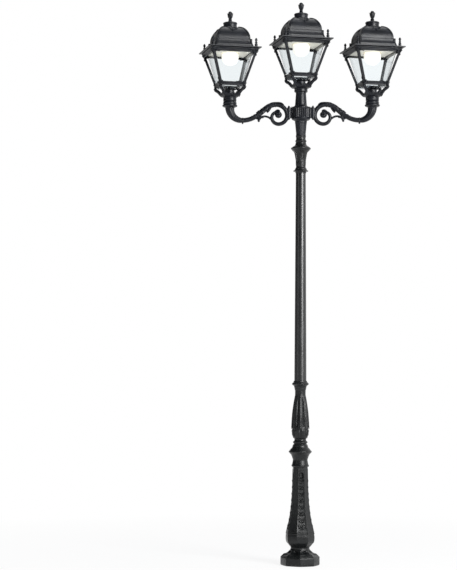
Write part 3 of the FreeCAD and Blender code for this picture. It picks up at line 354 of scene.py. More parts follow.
def square_stack(profile: Array, rounding: float | Array = 3.0, closed: bool = False, side_points: int = 8) -> Shape:
    """Surface whose level sections are rounded squares with the half sides of a profile.

    Args:
        profile: Points of (half side, height).
        rounding: Corner radius, one for all rows or one for each.
        closed: Whether the last row joins the first, as on a hollow form.
        side_points: Points along a side.

    Returns:
        The surface.
    """
    flat, bend = square_ring(side_points)
    half = profile[:, 0]
    corner = np.minimum(np.broadcast_to(np.asarray(rounding, float), half.shape), half)
    level = flat[None] * (half - corner)[:, None, None] + bend[None] * corner[:, None, None]
    height = np.broadcast_to(profile[:, 1][:, None, None], level.shape[:2] + (1,))
    return Shape.grid(np.concatenate([level, height], axis=-1), along=closed)


def circle(points: int = 16, power: float = 1.0) -> Array:
    """Closed unit section: (cos t, sin t), each raised to a power that keeps its sign."""
    angle = np.arange(points) * TURN / points
    both = np.stack([np.cos(angle), np.sin(angle)], axis=1)
    return np.sign(both) * np.abs(both) ** power


def carried(path: Array, scale: Array | Corner, top: Array | Corner, section: Array | None = None,
            change: Array | None = None) -> Shape:
    """A closed section carried along a path: point = path + side * x * width + over * y * height.

    Side is the way crossed with top, and over is side crossed with the way.

    Args:
        path: Points of shape (n, 3).
        scale: Half width and half height, of shape (n, 2), (2,) or (n, 1).
        top: The way up off the path, of shape (3,) or (n, 3).
        section: Unit section of shape (m, 2), a circle if left out.
        change: Factor on the section for each row and column, of shape (n, m).

    Returns:
        The surface, with both ends closed.
    """
    shape = circle() if section is None else section
    way = unit(np.gradient(path, axis=0))
    side = unit(np.cross(way, np.broadcast_to(top, path.shape)))
    over = np.cross(side, way)
    size = np.broadcast_to(scale, (len(path), 2))
    local = shape[None] * size[:, None, :]
    if change is not None:
        local = local * change[..., None]
    grid = path[:, None] + side[:, None] * local[..., :1] + over[:, None] * local[..., 1:]
    return Shape.grid(grid)


def curve(points: Sequence[Sequence[float]], count: int = 40) -> Array:
    """Smooth path through a few points.

    Each stretch is the cubic whose slope at a point is half the step between its neighbours: with the share s,
    p = (2 b + (c - a) s + (2 a - 5 b + 4 c - d) s^2 + (3 b - a - 3 c + d) s^3) / 2.

    Args:
        points: Points to pass through.
        count: Points of the path.

    Returns:
        Points of shape (count, dimensions).
    """
    given = np.array(points, float)
    padded = np.concatenate([2 * given[:1] - given[1:2], given, 2 * given[-1:] - given[-2:-1]])
    place = np.linspace(0.0, len(given) - 1.0, count)
    start = np.minimum(place.astype(int), len(given) - 2)
    share = (place - start)[:, None]
    a, b, c, d = padded[start], padded[start + 1], padded[start + 2], padded[start + 3]
    cubic = (2 * a - 5 * b + 4 * c - d) * share**2 + (3 * b - a - 3 * c + d) * share**3
    return (2 * b + (c - a) * share + cubic) / 2


def taper(count: int, start: float = 0.0, end: float = 0.0, sharpness: float = 2.0) -> Array:
    """Widths along a leaf or stem: a full middle that closes at both ends.

    w(s) = lowest + (1 - lowest) * (1 - |2 s - 1|^sharpness) ^ 0.6, where lowest runs from start to end.

    Args:
        count: How many widths.
        start: Share of the width at the start.
        end: Share of the width at the end.
        sharpness: How square the outline is.

    Returns:
        Widths of shape (count,).
    """
    share = np.linspace(0.0, 1.0, count)
    lowest = start + (end - start) * share
    return lowest + (1.0 - lowest) * np.maximum(1.0 - np.abs(2 * share - 1) ** sharpness, 0.0) ** 0.6


def rosette(radius: float, height: float, petals: int = 6, depth: float = 0.22) -> Shape:
    """Round flower that lies on the plane z = 0, with a button in its middle.

    Height over the plane at share s of the radius: h (1 - s^2.2) (1 + depth cos(petals t)), with the button
    added and a groove round it taken off. The rim's radius swells by depth / 2 in each petal.

    Args:
        radius: Radius of the petals.
        height: Height of the petals.
        petals: How many.
        depth: How deep they are parted.

    Returns:
        The surface, closed underneath.
    """
    share = np.concatenate([np.linspace(0.04, 1.0, 10), [0.94]])[:, None]
    angle = around(36)
    wave = np.cos(petals * angle)
    button, groove = 0.6 * np.exp(-((share / 0.28) ** 4)), 0.25 * np.exp(-(((share - 0.38) / 0.09) ** 2))
    lift = height * ((1.0 - share**2.2) * (1.0 + depth * wave) + button - groove)
    lift[-1] = -0.6 * height
    return Shape.grid(spun(radius * share * (1.0 + depth * 0.5 * wave * share), angle, lift))


def volute(radius: float, thick: float, turns: float = 1.4, count: int = 48) -> Shape:
    """Spiral on the plane z = 0 that winds in to a button: r = radius (1 - 0.78 s), angle = turns * 360 s.

    Args:
        radius: Its outer radius.
        thick: Half width of its band at the start.
        turns: How many turns it makes.
        count: Points along it.

    Returns:
        The surface.
    """
    share = np.linspace(0.0, 1.0, count)
    path = spun(radius * (1.0 - 0.78 * share), TURN * turns * share, thick * 0.3 * share)
    width = thick * (1.0 - 0.45 * share) * smooth(share * 8 + 0.3)
    return carried(path, width[:, None], FLAT, circle(10)) + ball(thick * 1.15).moved(z=thick * 0.5)


def ball(radius: float, columns: int = 16) -> Shape:
    """Ball: x = r sin a cos t, y = r sin a sin t, z = -r cos a."""
    angle = np.linspace(0.12, math.pi - 0.12, 9)
    return turned(np.stack([radius * np.sin(angle), -radius * np.cos(angle)], axis=1), columns)


def laid(shape: Shape, place: Sequence[float], right: Sequence[float], out: Sequence[float]) -> Shape:
    """A relief made on the plane z = 0, laid on a surface.

    Point = place + right * x + up * y + out * z, where up is out crossed with right.

    Args:
        shape: The relief.
        place: Where its middle goes.
        right: Where its X goes.
        out: The surface's way out.

    Returns:
        The relief in its place.
    """
    outward = unit(np.array(out, float))
    across = np.array(right, float)
    across = unit(across - outward * float(across @ outward))
    up = np.cross(outward, across)
    frame = np.stack([across, up, outward])
    return shape.changed(lambda points: points @ frame + np.array(place, float))


def leaf(points: Sequence[Sequence[float]] | Array, width: float, height: float, top: Sequence[float] = FLAT,
         lobes: int = 0, start: float = 0.15, end: float = 0.0, count: int = 36) -> Shape:
    """Raised leaf along a path, with a ridge along its middle and lobes on its sides.

    The half width is width * taper * (1 - 0.22 cos(lobes turns)), and the section is pointed on top.

    Args:
        points: Points to pass through, from its root to its tip.
        width: Half width.
        height: Half height.
        top: The surface's way out.
        lobes: How many lobes each side has.
        start: Share of the width at the root.
        end: Share of the width at the tip.
        count: Points along it.

    Returns:
        The surface.
    """
    share = np.linspace(0.0, 1.0, count)
    wave = 1.0 + (0.22 * np.cos(TURN * lobes * share + math.pi) if lobes else 0.0)
    scale = np.stack([width * taper(count, start, end) * wave, height * taper(count, 0.5, 0.2)], axis=1)
    return carried(curve(points, count), scale, top, LEAF_SECTION)


# Finishes


def linear(colour: str) -> tuple[float, float, float, float]:
    """Turns an sRGB hex colour to linear: c / 12.92 up to 0.04045, and ((c + 0.055) / 1.055)^2.4 above."""
    parts = np.array([int(colour[i:i + 2], 16) for i in (1, 3, 5)]) / 255.0
    light = np.where(parts <= 0.04045, parts / 12.92, ((parts + 0.055) / 1.055) ** 2.4)
    return (float(light[0]), float(light[1]), float(light[2]), 1.0)


def add_node(tree: bpy.types.NodeTree, kind: str, inputs: dict | None = None, **settings: object) -> bpy.types.Node:
    """Adds a node, sets its properties, and sets or links its inputs.

    Args:
        tree: The tree that gets the node.
        kind: The node's type.
        inputs: A value or another node's output for each input, by name or place.
        **settings: Properties of the node.

    Returns:
        The node.
    """
    node = tree.nodes.new(kind)
    for name, value in settings.items():
        setattr(node, name, value)
    for name, value in (inputs or {}).items():
        if isinstance(value, bpy.types.NodeSocket):
            tree.links.new(value, node.inputs[name])
        else:
            node.inputs[name].default_value = value
    return node


def per_metre(millimetres: float) -> float:
    """Scale of a pattern on Object coordinates whose features are that many millimetres apart."""
    return 1.0 / (millimetres * MM)


class Skin:
    """A material on its way: its tree, and the Object coordinates that its patterns lie on."""

    def __init__(self, name: str) -> None:
        """Starts a material without nodes."""
        self.material = bpy.data.materials.new(name)
        self.material.use_nodes = True
        self.tree = self.material.node_tree
        self.tree.nodes.clear()
        self.place = self.node("ShaderNodeTexCoord", out="Object")

    def node(self, kind: str, inputs: dict | None = None, out: int | str = 0, **settings: object) -> Socket:
        """Adds a node and gives one of its outputs."""
        return add_node(self.tree, kind, inputs, **settings).outputs[out]

    def noise(self, size: float, detail: float, roughness: float = 0.5) -> Socket:
        """Noise whose features are that many millimetres apart."""
        return self.node("ShaderNodeTexNoise", {
            "Vector": self.place, "Scale": per_metre(size), "Detail": detail, "Roughness": roughness})

    def ranged(self, value: Socket, low: float, high: float, start: float = 0.0, end: float = 1.0) -> Socket:
        """A value between start and end, brought to between low and high."""
        return self.node("ShaderNodeMapRange", {
            "Value": value, "From Min": start, "From Max": end, "To Min": low, "To Max": high})

    def blend(self, share: Socket, colour: str, pale: str) -> Socket:
        """Mix of two colours."""
        return self.node("ShaderNodeMix", {0: share, 6: linear(colour), 7: linear(pale)}, 2, data_type="RGBA")

    def bump(self, height: Socket, strength: float, depth: float) -> Socket:
        """Bump that many millimetres deep."""
        return self.node("ShaderNodeBump", {"Height": height, "Strength": strength, "Distance": depth * MM})

    def principled(self, inputs: dict) -> Socket:
        """The one shader that every finish is made of."""
        return self.node("ShaderNodeBsdfPrincipled", inputs)

    def shown(self, shader: Socket) -> bpy.types.Material:
        """Joins a shader to the output, and gives the material."""
        add_node(self.tree, "ShaderNodeOutputMaterial", {"Surface": shader})
        return self.material


@dataclass(frozen=True)
class CoatedCasting:
    """Sand-cast aluminium under a textured powder coat.

    The sand and the powder leave a fine pebbled skin that breaks highlights up, and the coat's tone drifts a
    little darker and paler at random and shines a little more where hands and rain have smoothed it.
    """

    name: str
    colour: str
    pale: str
    roughness: float
    grain: float = 3.0
    grain_depth: float = 0.8
    gloss: float = 0.5
    drift: float = 70.0

    def make(self) -> bpy.types.Material:
        """Builds the material."""
        skin = Skin(self.name)
        # The sand and the powder leave grains of 0.3 to 1 mm, drawn larger on the castings so that they show.
        grain, drift = skin.noise(self.grain, 3.0, 0.65), skin.noise(self.drift, 4.0, 0.55)
        both = skin.node("ShaderNodeMath", {0: grain, 1: drift}, operation="MULTIPLY")
        return skin.shown(skin.principled({
            "Base Color": skin.blend(skin.ranged(both, 0.0, 1.0, 0.12, 0.42), self.colour, self.pale),
            "Roughness": skin.ranged(drift, self.roughness - 0.06, self.roughness + 0.07, 0.3, 0.7),
            "Normal": skin.bump(grain, 0.9, self.grain_depth), "IOR": COAT_IOR, "Specular IOR Level": self.gloss}))


@dataclass(frozen=True)
class ClearAcrylic:
    """Moulded clear acrylic of the diffuser: near colourless, with a cool tint and a faint wave in its faces."""

    name: str
    tint: str
    roughness: float = 0.02
    wave: float = 60.0
    # Acrylic is 1.49, and its thin walls here show as little shine as in the photograph with 1.18.
    ior: float = 1.18

    def make(self) -> bpy.types.Material:
        """Builds the material."""
        skin = Skin(self.name)
        tint = linear(self.tint)
        shader = skin.principled({
            "Base Color": tint, "Roughness": self.roughness, "IOR": self.ior, "Transmission Weight": 1.0,
            "Normal": skin.bump(skin.noise(self.wave, 1.0), 0.02, 0.2)})
        # Rays from the lamps pass straight through, tinted once, as clear acrylic throws next to no shadow.
        clear = skin.node("ShaderNodeBsdfTransparent", {"Color": tint})
        ray = skin.node("ShaderNodeLightPath", out="Is Shadow Ray")
        return skin.shown(skin.node("ShaderNodeMixShader", {0: ray, 1: shader, 2: clear}))


@dataclass(frozen=True)
class OpalGlass:
    """Blown opal glass, lit from inside: an even soft white with a thin gloss."""

    name: str
    colour: str
    glow: str
    strength: float

    def make(self) -> bpy.types.Material:
        """Builds the material."""
        skin = Skin(self.name)
        return skin.shown(skin.principled({
            "Base Color": linear(self.colour), "Roughness": skin.ranged(skin.noise(40.0, 2.0), 0.14, 0.24),
            "IOR": COAT_IOR, "Emission Color": linear(self.glow), "Emission Strength": self.strength}))


@dataclass(frozen=True)
class PlainCoat:
    """A smooth coat or moulding with a faint mottle: enamel, ceramic, plastic or rubber."""

    name: str
    colour: str
    pale: str
    roughness: float
    mottle: float
    depth: float = 0.03
    ior: float = 1.5

    def make(self) -> bpy.types.Material:
        """Builds the material."""
        skin = Skin(self.name)
        mottle = skin.noise(self.mottle, 3.0)
        return skin.shown(skin.principled({
            "Base Color": skin.blend(mottle, self.colour, self.pale), "IOR": self.ior,
            "Roughness": skin.ranged(mottle, self.roughness - 0.05, self.roughness + 0.05),
            "Normal": skin.bump(mottle, 0.3, self.depth)}))


@dataclass(frozen=True)
class BareSteel:
    """Bare metal: hot-dip galvanised steel has crystals tens of millimetres wide, turned stainless fine rings."""

    name: str
    colour: str
    pale: str
    roughness: float
    crystal: float
    stretch: tuple[float, float, float] = (1.0, 1.0, 1.0)

    def make(self) -> bpy.types.Material:
        """Builds the material."""
        skin = Skin(self.name)
        along = skin.node("ShaderNodeMapping", {"Vector": skin.place, "Scale": self.stretch})
        crystal = skin.node("ShaderNodeTexVoronoi", {"Vector": along, "Scale": per_metre(self.crystal)}, "Color")
        grey = skin.node("ShaderNodeRGBToBW", {"Color": crystal})
        return skin.shown(skin.principled({
            "Base Color": skin.blend(grey, self.colour, self.pale), "Metallic": 1.0,
            "Roughness": skin.ranged(grey, self.roughness - 0.08, self.roughness + 0.08)}))


class Finish(Enum):
    """The finishes on the lamp post, each with the record's slot it stands for."""

    HEAD = ("cast_black", CoatedCasting(
        "powder_coated_cast_aluminium_blue_black", "#090b10", "#181b22", 0.36, gloss=0.3))
    POST = ("cast_black", CoatedCasting(
        "powder_coated_cast_aluminium_black", "#090a0b", "#181b1c", 0.34, gloss=0.36))
    SHAFT = ("shaft_black", CoatedCasting(
        "powder_coated_tube_black", "#0c0e0f", "#17191a", 0.32, 1.2, 0.05, 0.7, 120.0))
    DIFFUSER = ("clear_diffuser", ClearAcrylic("clear_moulded_acrylic", "#fafdfe"))
    GLOBE = ("opal_glass", OpalGlass("opal_blown_glass", "#f7f5ef", "#fff8ea", 0.55))
    ENAMEL = ("white_enamel", PlainCoat("white_stove_enamel", "#efe8d8", "#f6f1e4", 0.38, 25.0))
    CERAMIC = ("holder_ceramic", PlainCoat("glazed_steatite_ceramic", "#dcd6c8", "#ece7dc", 0.25, 12.0, ior=1.55))
    PLASTIC = ("terminal_plastic", PlainCoat("moulded_polyamide", "#cfcfca", "#dbdbd6", 0.5, 6.0, 0.05))
    RUBBER = ("gasket_rubber", PlainCoat("moulded_epdm_rubber", "#141414", "#1e1e1e", 0.75, 3.0, 0.08))
    GALVANISED = ("galvanised_steel", BareSteel("hot_dip_galvanised_steel", "#a7abad", "#c4c8ca", 0.45, 18.0))
    STAINLESS = ("stainless", BareSteel("turned_stainless_steel", "#b5b5b3", "#cbcbc9", 0.3, 1.2, (1, 1, 12)))


MATERIALS: dict[Finish, bpy.types.Material] = {}


def material_of(finish: Finish) -> bpy.types.Material:
    """The finish's material, made when it is first asked for."""
    if finish not in MATERIALS:
        MATERIALS[finish] = finish.value[1].make()
    return MATERIALS[finish]


def put(name: str, shape: Shape, finish: Finish, body: str, replaced: str | None = None) -> bpy.types.Object:
    """Makes a piece of the object from a surface, sets it on the body that it rides on, and hides the CAD node that it
    stands for.

    Args:
        name: Name of the piece.
        shape: Its surface, in millimetres.
        finish: Its finish.
        body: The body that it moves with.
        replaced: The CAD node that it stands for.

    Returns:
        The piece.
    """
    mesh = bpy.data.meshes.new(name)
    mesh.from_pydata((shape.points * MM).tolist(), [], shape.quads.tolist() + shape.triangles.tolist())
    work = bmesh.new()
    work.from_mesh(mesh)
    bmesh.ops.remove_doubles(work, verts=work.verts, dist=WELD * MM)
    bmesh.ops.recalc_face_normals(work, faces=work.faces)
    work.to_mesh(mesh)
    work.free()
    mesh.shade_smooth()
    mesh.set_sharp_from_angle(angle=math.radians(SHARP_ANGLE))
    mesh.materials.append(material_of(finish))
    piece = bpy.data.objects.new(name, mesh)
    bpy.context.scene.collection.objects.link(piece)
    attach(piece, body)
    if replaced:
        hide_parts(replaced)
    log.info("%s: %d faces on %s", name, len(mesh.polygons), body)
    return piece


def dress(node: bpy.types.Object, finish: Finish) -> None:
    """Gives a CAD node that stays in sight its finish."""
    node.data.materials.clear()
    node.data.materials.append(material_of(finish))


# The post


def put_casting(name: str, shape: Shape, foot: float = 0.0) -> None:
    """Puts a casting of the post in its place over the ground."""
    put(f"{name}.casting", shape.moved(z=foot), Finish.POST, "root", name)


@dataclass
class Plinth:
    """Eight-cornered foot with a rib up from each corner and a hollow between two ribs."""

    radius: float = 122.5
    side: float = 52.0
    neck: float = 59.0
    height: float = 112.0
    hollow: float = 13.0
    rib: float = 1.8

    def outline(self, angle: Array, height: Array, radius: Array) -> Array:
        """Radius of a rounded octagon with corners at 0, 45, 90 ... degrees, which turns round towards the neck.

        Roundness runs from 0.22 at the foot to 1 at the neck. Between two corners the slope sinks by up to the
        hollow, as cos^2(4 t), and each corner carries a rib.
        """
        off = np.mod(angle, EIGHTH) - EIGHTH / 2
        round_share = 0.22 + 0.78 * smooth((height - self.side) / (self.height - 12.0 - self.side))
        flat = radius * (octagon(off) * (1 - round_share) + round_share)
        sunk = self.hollow * hump(height, self.side + 16.0, self.height - 26.0, 9.0) * np.cos(off * 4) ** 2
        rib = hump(height, 6.0, self.height - 24.0, 6.0) * np.exp(-(((np.abs(off) - EIGHTH / 2) / 0.05) ** 2))
        return np.minimum(flat - sunk + self.rib * rib, self.radius)

    def build(self) -> None:
        """Makes the plinth's casting."""
        wide, side, neck = self.radius, self.side, self.neck
        outside = trace([
            (wide - 4.5, 0.0), (wide - 1.0, 5.0), (wide, 12.0), (wide, side - 5.0), (wide - 1.0, side - 1.0),
            (wide - 6.0, side + 4.5), (wide - 12.5, side + 10.5), (wide - 18.0, side + 16.0),
            (wide - 24.0, side + 21.0, -0.12), (neck + 8.0, side + 39.0), (neck + 3.0, side + 45.0),
            (neck, side + 52.0), (neck, self.height),
        ])
        rows = sampled(outside, np.arange(len(outside)), np.linspace(0, len(outside) - 1, 90))
        put_casting("plinth", casting(rows, 192, change=self.outline))


@dataclass
class Pedestal:
    """Eight-sided casting that sweeps in from its belly, with a carved panel on each second side."""

    height: float = 500.0
    foot: float = 75.0
    belly: float = 93.0
    belly_height: float = 68.0
    waist: float = 48.5
    turn: float = 10.0
    panel_low: float = 112.0
    panel_high: float = 428.0
    panel_depth: float = 2.4
    niche_depth: float = 12.0
    niche_half: float = 12.5
    bead: float = 1.3
    band: float = 1.8

    def widths(self, height: Array) -> Array:
        """Corner radius at a height: the belly's swell, then a sweep in to the waist."""
        foot, belly, low = self.foot, self.belly, self.belly_height
        shares = np.array([0.0, 0.1, 0.2, 0.32, 0.48, 0.7, 1.0])
        sizes = np.array([1.0, 0.84, 0.58, 0.36, 0.18, 0.05, 0.0])
        known = np.concatenate([[0.0, 6.0, 17.0, 30.0, 41.0, 54.0], low + shares * (self.height - low)])
        radii = np.concatenate([[foot - 13.0, foot - 8.0, foot + 1.0, belly - 5.0, belly - 1.0, belly],
                                self.waist + sizes * (belly - self.waist)])
        return np.interp(height, known, radii)

    def outline(self, angle: Array, height: Array, radius: Array) -> Array:
        """Octagon with softly rounded corners, bands, sunk panels and the arched niche over each panel.

        A panel sinks within its width and height by its depth, a niche by its own, and a bead stands proud of
        each corner.
        """
        local = angle - math.radians(self.turn) + math.pi / 2 + EIGHTH / 2
        off = np.mod(local, EIGHTH) - EIGHTH / 2
        flat = radius * octagon(off)
        across = flat * np.sin(off)
        half = radius * math.sin(EIGHTH / 2)
        carved = np.mod(np.floor(local / EIGHTH), 2) < 0.5
        panel = smooth((0.74 * half - np.abs(across)) / 2.0) * hump(height, self.panel_low, self.panel_high, 3.0)
        over = np.maximum(height - (self.panel_high + 26.0), 0.0) / 12.0
        reach = np.sqrt((across / self.niche_half) ** 2 + over**2)
        niche = smooth((1.1 - reach) / 0.3) * smooth((height - (self.panel_high + 4.0)) / 3.0)
        bead = smooth((np.abs(across) - 0.9 * half) / 2.0) * hump(height, 86.0, self.height - 16.0, 8.0)
        bands = hump(height, 86.0, 90.0, 2.5) + hump(height, 97.0, 99.0, 2.0)
        return (flat - carved * (self.panel_depth * panel + self.niche_depth * niche)
                + self.bead * bead + self.band * bands)

    def carving(self) -> Shape:
        """Scroll foliage of one panel, laid along the side that faces -Y before the turn.

        A vine climbs the side: its coils stand by turns to the left and to the right of the stem and shrink as
        the side narrows. Each has a lobed leaf on either side and a bud over it.
        """
        parts = []

        def lay(relief: Shape, height: float, sink: float, lift: float = 0.0) -> None:
            """Lays a relief on the side's middle at a height, sunk into it, and moved up by the lift."""
            near = self.widths(np.array([height - 3.0, height, height + 3.0])) * math.cos(math.pi / 8)
            place = (0.0, -(float(near[1]) - sink), height + lift)
            parts.append(laid(relief, place, (1, 0, 0), (0.0, -1.0, -float((near[2] - near[0]) / 6.0))))

        for index, height in enumerate(np.linspace(self.panel_low + 18.0, self.panel_high - 16.0, 8)):
            size = 0.15 * float(self.widths(np.array([height]))[0]) + 2.4
            hand = 1.0 if index % 2 else -1.0
            coil = volute(size * 1.15, 2.4, 1.5).changed(
                lambda p, h=hand, s=size: p * np.array([h, 1.0, 1.5]) + np.array([h * s * 0.55, 0.0, 0.9]))
            lay(coil, float(height), 1.4)
            for side, rise in ((hand, 1.45), (-hand, 1.0)):
                tip = leaf([(-side * 2.0, -size * 1.4, 0.4), (side * size * 0.9, -size * 0.7, 2.0),
                            (side * size * 1.7, size * 0.3, 2.2), (side * size * 1.9, size * rise, 0.4)],
                           3.4, 2.8, lobes=3, count=24)
                lay(tip, float(height), 1.4)
            bud = leaf(size * hand * np.array([(-0.2, 0.5 * hand, 0), (-0.9, 0.9 * hand, 0), (-1.6, 0.5 * hand, 0)])
                       + np.array([(0, 0, 0.6), (0, 0, 2.4), (0, 0, 0.6)]), 3.2, 2.6, lobes=2, count=20)
            lay(bud, float(height), 1.4)
        lay(rosette(9.0, 3.0, 5), self.panel_low + 6.0, 1.8, 6.0)
        return total(parts)

    def build(self) -> None:
        """Makes the pedestal's casting with its carving."""
        height = np.unique(np.concatenate([np.linspace(0, self.height, 190), np.linspace(80, 104, 22)]))
        body = casting(np.stack([self.widths(height), height], axis=1), 256, change=self.outline)
        put_casting("pedestal", body + self.carving().turned(self.turn).repeated(4), PEDESTAL_FOOT)


@dataclass
class Knob:
    """Turned moulding over the pedestal: ring, cup, knob and bead."""

    height: float = 178.0
    knob: float = 71.5
    ring: float = 56.5
    foot: float = 47.5
    bead: float = 42.0
    top: float = 37.0

    def build(self) -> None:
        """Makes the moulding."""
        knob, ring, foot, bead, top = self.knob, self.ring, self.foot, self.bead, self.top
        rows = trace([
            (foot, 0), (ring - 5.0, 0.008), (ring - 3.5, 0.02, 0.22), (ring - 3.5, 0.075), (foot + 3.0, 0.11),
            (foot + 1.3, 0.157), (foot - 0.5, 0.213, -0.08), (foot + 1.8, 0.31), (foot + 5.2, 0.374),
            (knob - 13.2, 0.441), (knob - 7.5, 0.475), (knob - 4.5, 0.494, 0.36), (knob - 5.0, 0.584),
            (knob - 9.0, 0.618), (knob - 13.5, 0.646), (knob - 17.5, 0.668, -0.1), (foot + 0.5, 0.753),
            (foot - 3.0, 0.787), (bead - 2.0, 0.812), (bead - 1.4, 0.832, 0.4), (bead - 1.4, 0.91),
            (top + 0.3, 0.938), (top - 0.6, 0.97), (top + 1.0, 1.0),
        ], steps=14, tall=self.height)
        put_casting("knob", casting(rows, 128), KNOB_FOOT)


@dataclass
class Baluster:
    """Baluster of eight long leaves over a cup of short ones, with a slim neck."""

    height: float = 328.0
    foot: float = 37.0
    cup: float = 54.5
    top: float = 33.5
    leaves: int = 8

    def outline(self, angle: Array, height: Array, radius: Array) -> Array:
        """Radius with a groove between two leaves: r - depth * |sin(leaves t / 2)|^6.

        The groove is deepest below the neck and runs out near 0.86 of the height, and a rib runs up the middle
        of each leaf. Under the leaf tips a second rank of leaves stands half a step round.
        """
        share = height / self.height
        upper = smooth((share - 0.2) / 0.05) * (1.0 - smooth((share - 0.66) / 0.2))
        lower = smooth((share - 0.03) / 0.05) * (1.0 - smooth((share - 0.17) / 0.03))
        between, middle = np.abs(np.sin(self.leaves * angle / 2)), np.abs(np.cos(self.leaves * angle / 2))
        return radius - 7.0 * upper * between**6 - 4.6 * lower * middle**8 + 1.5 * middle**40 * upper

    def build(self) -> None:
        """Makes the baluster with its curling leaf tips."""
        up, cup, top = self.height, self.cup, self.top
        rows = trace([
            (self.foot, 0), (self.foot + 5.0, 0.006), (self.foot + 9.0, 0.02), (cup - 4.5, 0.067, 0.06),
            (cup - 0.5, 0.15), (cup - 2.5, 0.2), (cup - 1.0, 0.24, 0.02), (cup - 2.5, 0.345, 0.02),
            (cup - 8.5, 0.58), (cup - 12.0, 0.655), (cup - 15.7, 0.73), (top + 2.0, 0.8, -0.04), (top, 0.87),
            (top, 0.92), (top + 3.0, 0.945), (top + 3.0, 0.965), (top + 6.0, 0.99), (top + 6.5, 1.0),
        ], steps=26, soften=2.0, tall=up)
        out = (1, 0, 0)
        long_leaf = leaf([(cup - 4.0, 0, 0.46 * up), (cup - 1.6, 0, 0.32 * up), (cup - 0.8, 0, 0.25 * up),
                          (cup + 0.6, 0, 0.2 * up), (cup + 0.2, 0, 0.18 * up)], 12.5, 2.6, out, 3, 0.3, 0.35)
        short_leaf = leaf([(cup - 9.0, 0, 0.03 * up), (cup - 2.6, 0, 0.08 * up), (cup - 0.4, 0, 0.14 * up),
                           (cup + 0.2, 0, 0.168 * up)], 11.0, 2.6, out, 2, 0.5, 0.3)
        tips = long_leaf + short_leaf.turned(180.0 / self.leaves)
        put_casting("baluster", casting(rows, 192, change=self.outline) + tips.repeated(self.leaves), BALUSTER_FOOT)


@dataclass
class Shaft:
    """Tapered tube of the post with the flanged collars at its ends."""

    foot: float = 38.0
    top: float = 31.5
    wall: float = 4.0
    lower_flange: float = 52.5
    upper_flange: float = 48.0

    def build(self) -> None:
        """Makes the tube and both collars."""
        foot, top, low, high = self.foot, self.top, self.lower_flange, self.upper_flange
        share = np.linspace(0.0, 1.0, 60)[:, None]
        outer = np.concatenate([foot + (top - foot) * share, (UPPER_COLLAR_FOOT - SHAFT_FOOT) * share], axis=1)
        tube = turned(np.concatenate([outer, (outer - np.array([self.wall, 0.0]))[::-1]]), closed=True)
        put("shaft.tube", tube.moved(z=SHAFT_FOOT), Finish.SHAFT, "root", "shaft")
        rows = trace([
            (36.0, 0), (40.0, 0.02), (42.5, 0.1), (46.0, 0.2, 0.1), (low - 1.0, 0.32), (low, 0.4), (low, 0.5),
            (low - 2.0, 0.58), (foot + 8.0, 0.68), (foot + 5.0, 0.8), (foot + 4.0, 1.0),
        ], tall=SHAFT_FOOT - LOWER_COLLAR_FOOT)
        put_casting("lower_collar", casting(rows), LOWER_COLLAR_FOOT)
        rows = trace([
            (top + 2.0, 0), (top + 2.5, 0.1), (top + 4.0, 0.34, -0.1), (high - 2.0, 0.42), (high, 0.48),
            (high, 0.56), (high - 2.5, 0.62), (40.0, 0.74), (38.0, 0.84), (38.0, 1.0),
        ], tall=CAPITAL_FOOT - UPPER_COLLAR_FOOT)
        put_casting("upper_collar", casting(rows), UPPER_COLLAR_FOOT)


@dataclass
class Capital:
    """Capital with sunk, round-ended panels under its cushion and rings over it."""

    height: float = 211.0
    waist: float = 32.0
    cushion: float = 61.0
    neck: float = 30.5
    panels: int = 8
    panel_depth: float = 3.0

    def outline(self, angle: Array, height: Array, radius: Array) -> Array:
        """Radius less a panel's depth within a panel's width and height.

        The panel's lower end is round: it follows low + w^2 / (1.3 half) for the distance w from its middle.
        """
        step = TURN / self.panels
        off = np.abs((np.mod(angle + math.pi / 2 + step * 0.28, step) - step / 2) * radius)
        half = radius * step / 2
        inside = smooth((half * 0.76 - off) / 1.2) * smooth((height - 40.0 - off**2 / (1.3 * half)) / 3.0)
        return radius - self.panel_depth * inside * (1.0 - smooth((height - 108.0) / 4.0))

    def build(self) -> None:
        """Makes the capital's casting."""
        waist, cushion, neck = self.waist, self.cushion, self.neck
        rows = trace([
            (waist + 6.0, 0, -0.15), (waist, 0.12), (waist, 0.15), (waist + 1.0, 0.27), (waist + 7.5, 0.45, -0.12),
            (cushion - 7.0, 0.555), (cushion - 6.0, 0.57), (cushion - 5.0, 0.58, 0.46), (cushion - 5.0, 0.655),
            (cushion - 9.0, 0.672), (cushion - 10.0, 0.675, -0.16), (neck + 3.0, 0.79), (neck + 1.0, 0.805),
            (neck + 3.0, 0.822, 0.3), (neck + 3.0, 0.865), (neck, 0.885), (neck - 0.5, 0.95), (neck + 1.5, 0.965),
            (neck + 2.0, 0.985), (neck + 1.0, 1.0),
        ], steps=16, tall=self.height)
        put_casting("capital", casting(refined(rows, 130), 192, change=self.outline), CAPITAL_FOOT)


# The head


